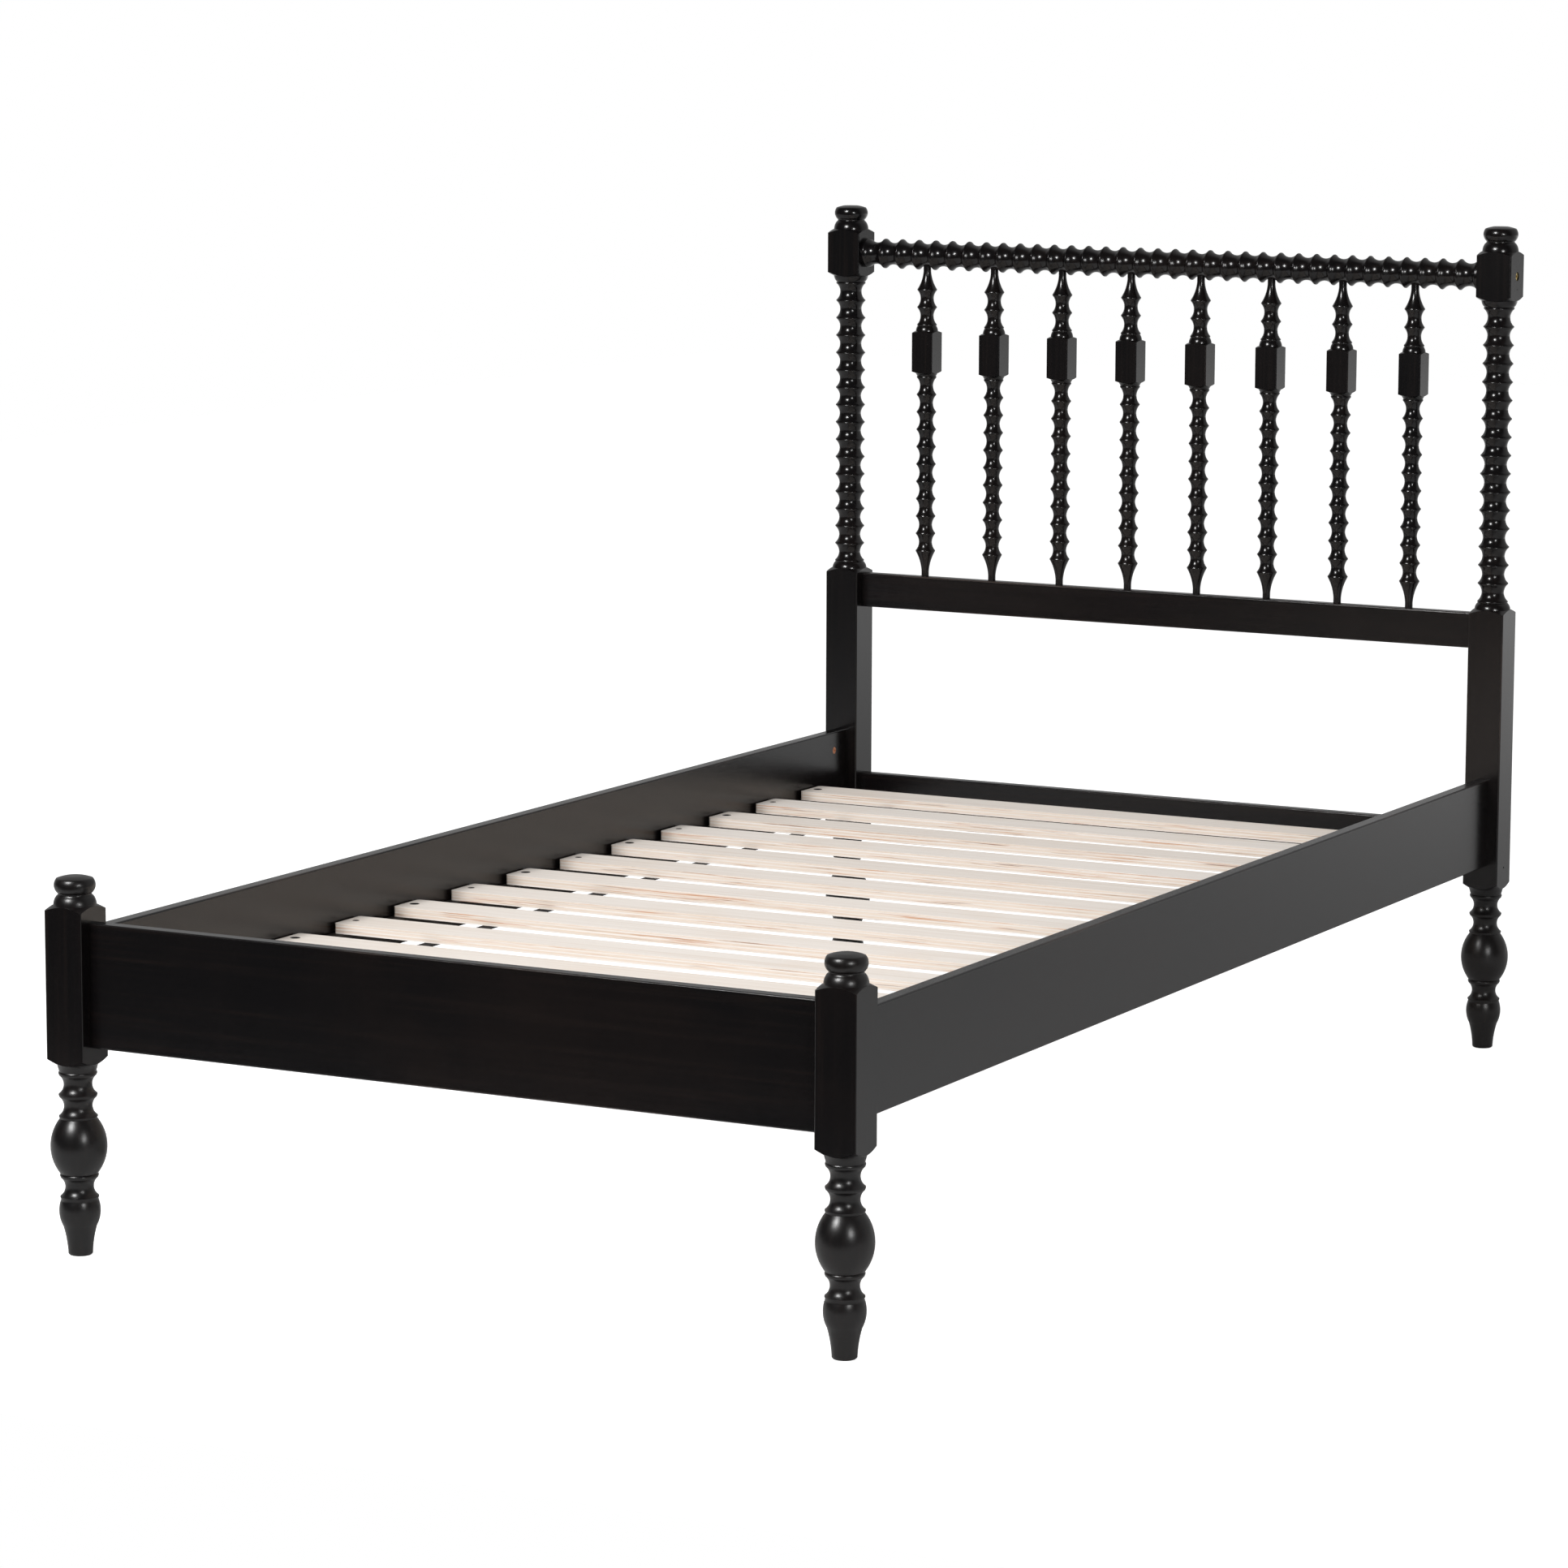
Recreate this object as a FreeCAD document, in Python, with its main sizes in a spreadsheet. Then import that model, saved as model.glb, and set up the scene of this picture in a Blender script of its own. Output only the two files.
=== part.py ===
"""Spindle bed for a single mattress: turned posts, a spindle headboard and a slatted base.

The frame is in millimetres. X runs across the bed, +Y points from the foot to the head, +Z is up.
The origin is on the floor, at the middle of the bed's outline.
"""
import FreeCAD, Part

import os
import re

import Sketcher

Vector = FreeCAD.Vector

# ---------------------------------------------------------------------------
# Driving dimensions. Heights inside a turned piece are the lengths of its elements along the axis.
# ---------------------------------------------------------------------------
SIZES = {
    # the four posts
    "post_spacing_across": 1025,   # post centre to post centre, side to side
    "post_spacing_along": 1960,    # post centre to post centre, foot to head
    "post_square": 52,             # side of the square stock
    "post_edge_radius": 2,
    # turned leg, from the floor up. It is turned from thicker stock than the square above it
    "foot_radius": 14.4,
    "foot_ease": 1.5,              # eased edge round the bottom
    "vase_stem_length": 33.5,      # straight-looking part of the vase, above the eased edge
    "vase_stem_radius": 19.8,      # radius where the stem turns into the swell
    "vase_stem_hollow": 1,         # how far the stem's side is hollowed
    "vase_length": 32.9,           # the swell of the vase
    "vase_bulge": 3.6,             # how far the swell stands out from its chord
    "quirk_radius": 21.8,          # bottom of the small groove under a ring
    "quirk_length": 2,
    "ring_radius": 22.8,
    "ring_length": 1.2,            # the narrow flat on a ring's edge
    "cove_radius": 16.8,           # bottom of the hollow between two rings
    "cove_low": 12,                # from a ring to the bottom of the hollow above it
    "cove_high": 10.8,             # from there to the slope under the next ring
    "lip_radius": 22,              # where the hollow meets that slope
    "lip_length": 2.2,
    "bulb_length": 67,
    "bulb_radius": 33.4,
    "bell_length": 9.8,            # cone between the last ring and the square
    "bell_radius": 24.2,
    "shoulder_length": 8.1,        # where the lathe rounds off the square's corners
    # squares of the posts
    "foot_block_length": 176.8,
    "head_block_length": 385.6,
    "top_block_length": 57,
    # shoulder and button on top of every post
    "cap_shoulder": 6,
    "cap_dome_radius": 25.4,
    "cap_dome_length": 10.6,
    "cap_dome_bulge": 0.9,
    "cap_lip_radius": 21.9,
    "cap_neck_radius": 19.9,
    "cap_neck_length": 3.4,
    "button_radius": 24.4,
    "button_edge_radius": 21.6,
    "button_length": 17.6,
    "crown_radius": 11,
    "crown_length": 2.9,
    "crown_bulge": 0.9,
    # ribbed shaft of a head post
    "shaft_ridge_radius": 21.7,
    "shaft_valley_radius": 15.8,
    "shaft_pitch": 25.83,
    "shaft_coves": 16,
    "shaft_collar": 10.7,          # from the last ridge to the shoulder at a square
    "shaft_collar_bulge": 1.1,
    "shaft_notch_radius": 20.9,
    "shaft_notch_length": 1.2,
    "ridge_flat": 0.9,             # the narrow flat left on every ridge
    # top rail of the headboard
    "top_rail_ridge_radius": 21.8,
    "top_rail_valley_radius": 15.8,
    "top_rail_coves": 35,
    "top_rail_end_radius": 20.8,
    "top_rail_margin": 4.4,        # from a post's face to the first ridge
    "top_rail_tenon_radius": 12,
    "top_rail_tenon_length": 20,
    # spindles
    "spindle_count": 8,
    "spindle_step": 4,             # coves of the top rail from one spindle to the next
    "spindle_square": 33.6,
    "spindle_edge_radius": 1.5,
    "spindle_ridge_radius": 14.6,
    "spindle_valley_radius": 9.7,
    "spindle_neck_radius": 5.6,
    "spindle_taper_bow": 1.9,      # how far the neck's side is hollowed
    "spindle_lower_coves": 10,
    "spindle_upper_coves": 2,
    "spindle_foot_length": 38.4,   # neck and taper above the mid rail
    "spindle_head_length": 35.2,   # neck and taper under the top rail
    "spindle_neck_length": 8,      # the straight end of a neck
    "spindle_block_length": 56.7,
    "spindle_lower_collar": 8.6,   # from the ridge under the square to its corners
    "spindle_upper_collar": 11.9,  # from the ridge above the square to its corners
    "spindle_collar_radius": 16.4,
    "spindle_collar_bulge": 0.6,
    "spindle_shoulder": 2.6,
    "spindle_notch_radius": 13.9,
    "spindle_notch_length": 1.2,
    "spindle_tenon_length": 16,
    # flat rails
    "rail_thickness": 18,
    "rail_edge_radius": 2,
    "foot_rail_height": 149.6,
    "foot_rail_lift": 14.1,        # bottom edge above the square's lower corners
    "mid_rail_height": 50.3,
    "mid_rail_drop": 0.5,          # top edge under the square's upper corners
    "head_rail_height": 62,
    "head_rail_lift": 22,
    "tenon_thickness": 10,
    "tenon_shoulder": 6,
    "tenon_length": 20,
    "side_rail_height": 124,
    "side_rail_lift": 26.7,
    # side rail fittings
    "cam_radius": 5,
    "cam_depth": 13,
    "cam_inset": 37,               # from the rail's end
    "cam_margin": 27.5,            # from the rail's top or bottom edge
    "cam_slot_width": 1.6,
    "cam_slot_length": 7,
    "cam_slot_depth": 1.2,
    "cam_bolt_radius": 3,
    "cam_bolt_tip_radius": 2.4,
    "cam_bolt_in_post": 16,
    "dowel_radius": 4,
    "dowel_in_post": 16,
    "dowel_in_rail": 24,
    # ledgers under the slats
    "ledger_width": 22,
    "ledger_height": 32,
    "ledger_edge_radius": 1.5,
    "ledger_end_gap": 50,          # from a post's face
    "ledger_screw_count": 6,
    "ledger_screw_margin": 60,
    "ledger_screw_length": 34,
    # slats
    "slat_count": 13,
    "slat_width": 60,
    "slat_thickness": 13,
    "slat_drop": 73.5,             # slat top under the side rail's top edge
    "slat_side_gap": 3.5,          # from a slat's end to the side rail
    "slat_end_gap": 108,           # from the foot rail or head rail to the first slat
    "slat_corner_radius": 4,
    "slat_screw_inset": 13.5,
    "slat_screw_length": 32,
    # countersunk wood screws
    "screw_head_radius": 3.7,
    "screw_shank_radius": 2,
    "screw_cross_width": 1,
    "screw_cross_length": 3.6,
    "screw_cross_depth": 0.8,
    "countersink_close": 4.2,      # radius at the surface, even slats and ledgers
    "countersink_wide": 6.0,       # radius at the surface, odd slats
    # webbing under the slats
    "strap_offset": 355,           # from the middle of the bed
    "strap_width": 20,
    "strap_thickness": 1.2,
    "strap_tail": 10,              # past the last slat's middle line
    "staple_width": 10,
    "staple_leg": 7,
    "staple_wire": 1,
    # bolts through the top squares
    "bolt_head_radius": 6.2,
    "bolt_head_length": 4,
    "bolt_shank_radius": 3,
    "bolt_in_rail": 34,
    "bolt_key_width": 4,
    "bolt_key_depth": 2.4,
    "bolt_recess": 1.5,            # head below the post's face
    # small holes on the outer face of each head post
    "pilot_hole_radius": 1.5,
    "pilot_hole_depth": 6,
    "pilot_hole_lift": 23,         # above the square's lower corners
    "nail_hole_radius": 1,
    "nail_hole_depth": 4,
    "nail_hole_drop": 18.2,        # below the bolt
    # clearances
    "fit": 0.1,                    # round a tenon, dowel, bolt or screw
    "end_fit": 1,                  # past the end of a tenon, dowel, bolt or screw
}

doc = FreeCAD.newDocument("SpindleBed")
sheet = doc.addObject("Spreadsheet::Sheet", "Sizes")
for row, (name, size) in enumerate(SIZES.items(), start=1):
    sheet.set(f"A{row}", name)
    sheet.set(f"B{row}", str(size))
    sheet.setAlias(f"B{row}", name)
doc.recompute()


# ---------------------------------------------------------------------------
# Expressions: a text such as "post_square / 2" is bound to the sheet's cells.
# ---------------------------------------------------------------------------
def bind(text):
    """Put the sheet's name before every size's name in an expression."""
    return re.sub(r"[a-z][a-z_]+", lambda word: "Sizes." + word[0], text)


def number(text):
    """The present value of an expression."""
    return float(sheet.evalExpression(bind(text)))


def total(*terms):
    """The sum of several expressions, as one expression."""
    return "(" + " + ".join(terms) + ")"


# ---------------------------------------------------------------------------
# Places that several pieces share, each worked out from the sizes above.
# ---------------------------------------------------------------------------
HALF_ACROSS = "(post_spacing_across / 2)"
HALF_ALONG = "(post_spacing_along / 2)"
HALF_POST = "(post_square / 2)"
POST_CORNER = "(post_square / 2 ^ 0.5)"
SPINDLE_CORNER = "(spindle_square / 2 ^ 0.5)"
CLEAR_ACROSS = "(post_spacing_across - post_square)"
CLEAR_ALONG = "(post_spacing_along - post_square)"
HALF_RAIL = "(rail_thickness / 2)"
RAIL_FACE = f"({HALF_ACROSS} - {HALF_RAIL})"

RING_TO_RING = total("ring_length", "cove_low", "cove_high", "lip_length")
VASE_TOP = total("foot_ease", "vase_stem_length", "vase_length")
FIRST_RING = total(VASE_TOP, "quirk_length")
BULB_START = total(FIRST_RING, RING_TO_RING, "ring_length", "quirk_length / 2")
BULB_RING = total(BULB_START, "bulb_length", "quirk_length")
BEAD_RING = total(BULB_RING, RING_TO_RING)
BELL_RING = total(BEAD_RING, RING_TO_RING)
BELL_END = total(BELL_RING, "ring_length", "bell_length")
LEG_TOP = total(BELL_END, "shoulder_length")

FOOT_BLOCK_TOP = total(LEG_TOP, "foot_block_length")
HEAD_BLOCK_TOP = total(LEG_TOP, "head_block_length")
SHAFT_END = total("cap_shoulder", "shaft_collar")
SHAFT_START = total(HEAD_BLOCK_TOP, SHAFT_END)
SHAFT_TOP = total(SHAFT_START, "shaft_coves * shaft_pitch")
TOP_BLOCK_BOTTOM = total(SHAFT_TOP, SHAFT_END)
TOP_RAIL_AXIS = total(TOP_BLOCK_BOTTOM, "top_block_length / 2")
TOP_BLOCK_TOP = total(TOP_BLOCK_BOTTOM, "top_block_length")
CAP_LENGTH = total("cap_shoulder", "cap_dome_length", "cap_neck_length", "button_length", "crown_length")

FOOT_RAIL_BOTTOM = total(LEG_TOP, "foot_rail_lift")
HEAD_RAIL_BOTTOM = total(LEG_TOP, "head_rail_lift")
MID_RAIL_TOP = f"({HEAD_BLOCK_TOP} - mid_rail_drop)"
MID_RAIL_BOTTOM = f"({MID_RAIL_TOP} - mid_rail_height)"
SIDE_RAIL_BOTTOM = total(LEG_TOP, "side_rail_lift")
SIDE_RAIL_TOP = total(SIDE_RAIL_BOTTOM, "side_rail_height")

SLAT_TOP = f"({SIDE_RAIL_TOP} - slat_drop)"
SLAT_BOTTOM = f"({SLAT_TOP} - slat_thickness)"
LEDGER_BOTTOM = f"({SLAT_BOTTOM} - ledger_height)"
LEDGER_LENGTH = f"({CLEAR_ALONG} - 2 * ledger_end_gap)"
LEDGER_SCREW_PITCH = f"(({LEDGER_LENGTH} - 2 * ledger_screw_margin) / (ledger_screw_count - 1))"
HALF_SLAT_LENGTH = f"({RAIL_FACE} - slat_side_gap)"
SLAT_SCREW_X = f"({HALF_SLAT_LENGTH} - slat_screw_inset)"
LAST_SLAT = f"({HALF_ALONG} - {HALF_RAIL} - slat_end_gap - slat_width / 2)"
SLAT_PITCH = f"(2 * {LAST_SLAT} / (slat_count - 1))"

TOP_RAIL_PITCH = f"(({CLEAR_ACROSS} - 2 * top_rail_margin) / top_rail_coves)"
SPINDLE_GAP = f"({TOP_RAIL_AXIS} - top_rail_valley_radius - {MID_RAIL_TOP})"
SPINDLE_PLAIN = total("spindle_foot_length", "spindle_head_length", "spindle_block_length",
                      "spindle_lower_collar", "spindle_upper_collar")
SPINDLE_RIBBED = f"({SPINDLE_GAP} - {SPINDLE_PLAIN})"
SPINDLE_PITCH = f"({SPINDLE_RIBBED} / (spindle_lower_coves + spindle_upper_coves))"

CAM_HEIGHTS = ("cam_margin", "side_rail_height - cam_margin")
FIRST_SPINDLE = f"((0 - (spindle_count - 1) / 2) * spindle_step * {TOP_RAIL_PITCH})"
FIRST_LEDGER_SCREW = f"(0 - {LEDGER_LENGTH} / 2 + ledger_screw_margin)"
LEDGER_X = f"({RAIL_FACE} - ledger_width / 2)"
CAM_ROW = ("Z_Axis", "(side_rail_height - 2 * cam_margin)", "2")


# ---------------------------------------------------------------------------
# Sketches, cuts and turned outlines
# ---------------------------------------------------------------------------
PLANE_OF_FACE = {
    # face: origin plane, sign of the sketch's offset, whether a cut runs against the default
    "+x": ("YZ_Plane", 1, False),
    "-x": ("YZ_Plane", -1, True),
    "+y": ("XZ_Plane", -1, True),
    "-y": ("XZ_Plane", 1, False),
    "+z": ("XY_Plane", 1, False),
    "-z": ("XY_Plane", -1, True),
}


def new_body(label, several=False):
    """A piece, or a group of like pieces when several is true."""
    body = doc.addObject("PartDesign::Body", label)
    body.Label = label
    body.AllowCompound = several
    return body


def origin_of(body, role):
    return next(item for item in body.Origin.OriginFeatures if item.Role == role)


def new_sketch(body, name, plane, lift="0", shift="0", rise="0"):
    """A sketch on one of the body's origin planes, lifted off it and moved along its own X and Y."""
    sketch = body.newObject("Sketcher::SketchObject", f"{body.Name}_{name}")
    sketch.AttachmentSupport = [(origin_of(body, plane), "")]
    sketch.MapMode = "FlatFace"
    for axis, text in (("x", shift), ("y", rise), ("z", lift)):
        sketch.setExpression(f"AttachmentOffset.Base.{axis}", bind(text))
    return sketch


def hold(sketch, geometry, point, x, y):
    """Tie a point of the sketch to two expressions."""
    for kind, text in (("DistanceX", x), ("DistanceY", y)):
        constraint = sketch.addConstraint(Sketcher.Constraint(kind, geometry, point, number(text)))
        sketch.setExpression(f"Constraints[{constraint}]", bind(text))


def draw_outline(sketch, corners):
    """Draw a closed outline. A corner is (x, y), or (x, y, via_x, via_y) when an arc leads to it."""
    spots = [Vector(number(corner[0]), number(corner[1]), 0) for corner in corners]
    edges = []
    for index, corner in enumerate(corners):
        start, end = spots[index - 1], spots[index]
        if len(corner) == 2:
            edges.append(sketch.addGeometry(Part.LineSegment(start, end), False))
            continue
        via = Vector(number(corner[2]), number(corner[3]), 0)
        edges.append(sketch.addGeometry(Part.Arc(start, via, end), False))
    for index, corner in enumerate(corners):
        here, after = edges[index], edges[(index + 1) % len(edges)]
        near = spots[index]
        last = min((1, 2), key=lambda end: (sketch.getPoint(here, end) - near).Length)
        first = min((1, 2), key=lambda end: (sketch.getPoint(after, end) - near).Length)
        sketch.addConstraint(Sketcher.Constraint("Coincident", here, last, after, first))
        hold(sketch, here, last, corner[0], corner[1])
        if len(corner) == 4:
            via = Vector(number(corner[2]), number(corner[3]), 0)
            mark = sketch.addGeometry(Part.Point(via), True)
            hold(sketch, mark, 1, corner[2], corner[3])
            sketch.addConstraint(Sketcher.Constraint("PointOnObject", mark, 1, here))


def draw_rectangle(sketch, left, bottom, right, top):
    draw_outline(sketch, [(left, bottom), (right, bottom), (right, top), (left, top)])


def draw_circle(sketch, x, y, radius):
    circle = sketch.addGeometry(
        Part.Circle(Vector(number(x), number(y), 0), Vector(0, 0, 1), number(radius)), False)
    hold(sketch, circle, 3, x, y)
    constraint = sketch.addConstraint(Sketcher.Constraint("Radius", circle, number(radius)))
    sketch.setExpression(f"Constraints[{constraint}]", bind(radius))


def pad(body, sketch, length, both_ways=False):
    feature = body.newObject("PartDesign::Pad", f"{sketch.Name}_pad")
    feature.Profile = sketch
    feature.SideType = "Symmetric" if both_ways else "One side"
    feature.setExpression("Length", bind(length))
    doc.recompute()
    return feature


def check_cut(body, feature, before):
    """A cut that removes nothing points the wrong way."""
    doc.recompute()
    if body.Shape.isNull() or body.Shape.Volume >= before:
        raise ValueError(f"{feature.Name} removes nothing")
    return feature


def pocket(body, sketch, depth, face):
    before = body.Shape.Volume
    feature = body.newObject("PartDesign::Pocket", f"{sketch.Name}_cut")
    feature.Profile = sketch
    feature.Reversed = PLANE_OF_FACE[face][2]
    feature.setExpression("Length", bind(depth))
    return check_cut(body, feature, before)


def face_sketch(body, name, face, distance):
    """A sketch on the flat face that lies at a distance from the body's origin."""
    plane, sign, _ = PLANE_OF_FACE[face]
    return new_sketch(body, name, plane, f"{sign} * {distance}")


def revolve(body, kind, sketch, axis):
    feature = body.newObject(f"PartDesign::{kind}", f"{sketch.Name}_turned")
    feature.Profile = sketch
    feature.ReferenceAxis = (sketch, [axis])
    feature.Angle = 360
    doc.recompute()
    return feature


def turn_away(body, name, outline, shift="0"):
    """Turn away the waste drawn as (radius, height) corners, about a vertical axis at x = shift."""
    sketch = new_sketch(body, name, "XZ_Plane", shift=shift)
    draw_outline(sketch, outline)
    before = body.Shape.Volume
    return check_cut(body, revolve(body, "Groove", sketch, "V_Axis"), before)


def repeat(body, feature, axis, pitch, count):
    """Copies of a feature along one of the body's own axes."""
    pattern = body.newObject("PartDesign::LinearPattern", f"{feature.Name}_row")
    pattern.Originals = [feature]
    pattern.Direction = (origin_of(body, axis), [""])
    pattern.Mode = "Spacing"
    pattern.setExpression("Offset", bind(pitch))
    pattern.setExpression("Occurrences", bind(count))
    body.Tip = pattern
    doc.recompute()
    return pattern


def mirror(body, features, *planes, row=None):
    """Copies of features in the body's own middle planes, and along a row where one is given."""
    group = body.newObject("PartDesign::MultiTransform", f"{features[0].Name}_copies")
    group.Originals = features
    steps = []
    for plane in planes:
        step = body.newObject("PartDesign::Mirrored", f"{group.Name}_{plane}")
        step.MirrorPlane = (origin_of(body, plane), [""])
        steps.append(step)
    if row:
        axis, pitch, count = row
        step = body.newObject("PartDesign::LinearPattern", f"{group.Name}_row")
        step.Direction = (origin_of(body, axis), [""])
        step.Mode = "Spacing"
        step.setExpression("Offset", bind(pitch))
        step.setExpression("Occurrences", bind(count))
        steps.append(step)
    group.Transformations = steps
    body.Tip = group
    doc.recompute()
    return group


def round_edges(body, feature, radius, along):
    """Round the feature's straight edges that run along one axis."""
    names = []
    for index, edge in enumerate(feature.Shape.Edges, start=1):
        if not isinstance(edge.Curve, Part.Line):
            continue
        if abs(edge.tangentAt(edge.FirstParameter).dot(along)) > 0.999:
            names.append(f"Edge{index}")
    fillet = body.newObject("PartDesign::Fillet", f"{feature.Name}_eased")
    fillet.Base = (feature, names)
    fillet.setExpression("Radius", bind(radius))
    doc.recompute()
    return fillet


def put(body, x="0", y="0", z="0"):
    """Place a piece in the bed."""
    for axis, text in (("x", x), ("y", y), ("z", z)):
        body.setExpression(f"Placement.Base.{axis}", bind(text))
    return body


# ---------------------------------------------------------------------------
# Turned elements, as corners of an outline that runs up the piece
# ---------------------------------------------------------------------------
def arc(radius, height, from_radius, from_height, bulge):
    """A corner reached by an arc that stands out from its chord by bulge."""
    via_radius = f"(({radius} + {from_radius}) / 2 + {bulge})"
    via_height = f"(({height} + {from_height}) / 2)"
    return (radius, height, via_radius, via_height)


def ring_and_cove(start):
    """A ring, the hollow above it and the slope up to the next ring."""
    edge = total(start, "ring_length")
    bottom = total(edge, "cove_low")
    lip = total(bottom, "cove_high")
    return [
        ("ring_radius", start),
        ("ring_radius", edge),
        ("lip_radius", lip, "cove_radius", bottom),
        ("ring_radius", total(lip, "lip_length")),
    ]


def leg_outline():
    """The turned leg from the floor to the shoulder under the square."""
    stem = total("foot_ease", "vase_stem_length")
    bulb_end = total(BULB_START, "bulb_length")
    second_ring = total(FIRST_RING, RING_TO_RING)
    bell = total(BELL_RING, "ring_length")
    return [
        ("0", "0"),
        ("foot_radius - foot_ease", "0"),
        ("foot_radius", "foot_ease"),
        arc("vase_stem_radius", stem, "foot_radius", "foot_ease", "(0 - vase_stem_hollow)"),
        arc("quirk_radius", VASE_TOP, "vase_stem_radius", stem, "vase_bulge"),
        *ring_and_cove(FIRST_RING),
        ("ring_radius", total(second_ring, "ring_length")),
        ("quirk_radius", BULB_START),
        ("quirk_radius", bulb_end, "bulb_radius", total(BULB_START, "bulb_length / 2")),
        *ring_and_cove(BULB_RING),
        *ring_and_cove(BEAD_RING)[1:],
        ("ring_radius", bell),
        ("quirk_radius", total(bell, "ring_length")),
        ("bell_radius", BELL_END),
        ("0", BELL_END),
    ]


def cap_outline(start):
    """From the corners of a square up over the shoulder, the neck and the button."""
    shoulder = total(start, "cap_shoulder")
    dome = total(shoulder, "cap_dome_length")
    neck = total(dome, "cap_neck_length")
    button = total(neck, "button_length")
    crown = total(button, "crown_length")
    return [
        (POST_CORNER, start),
        ("cap_dome_radius", shoulder),
        arc("cap_lip_radius", dome, "cap_dome_radius", shoulder, "cap_dome_bulge"),
        ("cap_neck_radius", f"({dome} + {neck}) / 2"),
        ("cap_neck_radius", neck),
        ("button_edge_radius", button, "button_radius", f"({neck} + {button}) / 2"),
        arc("crown_radius", crown, "button_edge_radius", button, "crown_bulge"),
    ]


def shaft_outline():
    """The head post between its two squares, before the coves are cut."""
    low = total(HEAD_BLOCK_TOP, "cap_shoulder")
    high = f"({TOP_BLOCK_BOTTOM} - cap_shoulder)"
    half_flat = "ridge_flat / 2"
    first = f"({SHAFT_START} - {half_flat})"
    last = total(SHAFT_TOP, half_flat)
    low_notch = f"({first} - shaft_notch_length)"
    high_notch = total(last, "shaft_notch_length")
    return [
        (POST_CORNER, HEAD_BLOCK_TOP),
        ("cap_dome_radius", low),
        arc("shaft_notch_radius", low_notch, "cap_dome_radius", low, "shaft_collar_bulge"),
        ("shaft_ridge_radius", first),
        ("shaft_ridge_radius", last),
        ("shaft_notch_radius", high_notch),
        arc("cap_dome_radius", high, "shaft_notch_radius", high_notch, "shaft_collar_bulge"),
        (POST_CORNER, TOP_BLOCK_BOTTOM),
    ]


def close_outside(outline):
    """Close an outline round the waste that the turning removes."""
    return outline + [("post_square", outline[-1][1]), ("post_square", outline[0][1])]


def cut_coves(body, name, start, pitch, count, ridge, valley):
    """A row of round hollows with a narrow flat left between them."""
    low = f"({start} + ridge_flat / 2)"
    high = f"({start} + {pitch} - ridge_flat / 2)"
    outside = f"({ridge} + 1)"
    cove = turn_away(body, name, [
        (outside, low),
        (ridge, low),
        (ridge, high, valley, f"({start} + {pitch} / 2)"),
        (outside, high),
    ])
    return repeat(body, cove, "Z_Axis", pitch, count)


# ---------------------------------------------------------------------------
# Posts
# ---------------------------------------------------------------------------
def squared_stock(body, side, length, radius, start):
    """A square length with rounded edges, from a height above the body's origin."""
    sketch = new_sketch(body, "stock", "XY_Plane", start)
    half = f"{side} / 2"
    draw_rectangle(sketch, f"0 - {half}", f"0 - {half}", half, half)
    stock = pad(body, sketch, length)
    round_edges(body, stock, radius, Vector(0, 0, 1))


def cut_mortise(body, name, face, bottom, height):
    """The slot for a flat rail's tenon."""
    sketch = face_sketch(body, name, face, HALF_POST)
    half = "(tenon_thickness / 2 + fit)"
    draw_rectangle(sketch, f"0 - {half}", f"{bottom} + tenon_shoulder - fit",
                   half, f"{bottom} + {height} - tenon_shoulder + fit")
    pocket(body, sketch, "tenon_length + end_fit", face)


def drill(body, name, face, distance, holes, depth):
    """Round holes (x, y, radius) in one flat face."""
    sketch = face_sketch(body, name, face, distance)
    for x, y, radius in holes:
        draw_circle(sketch, x, y, radius)
    return pocket(body, sketch, depth, face)


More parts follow.
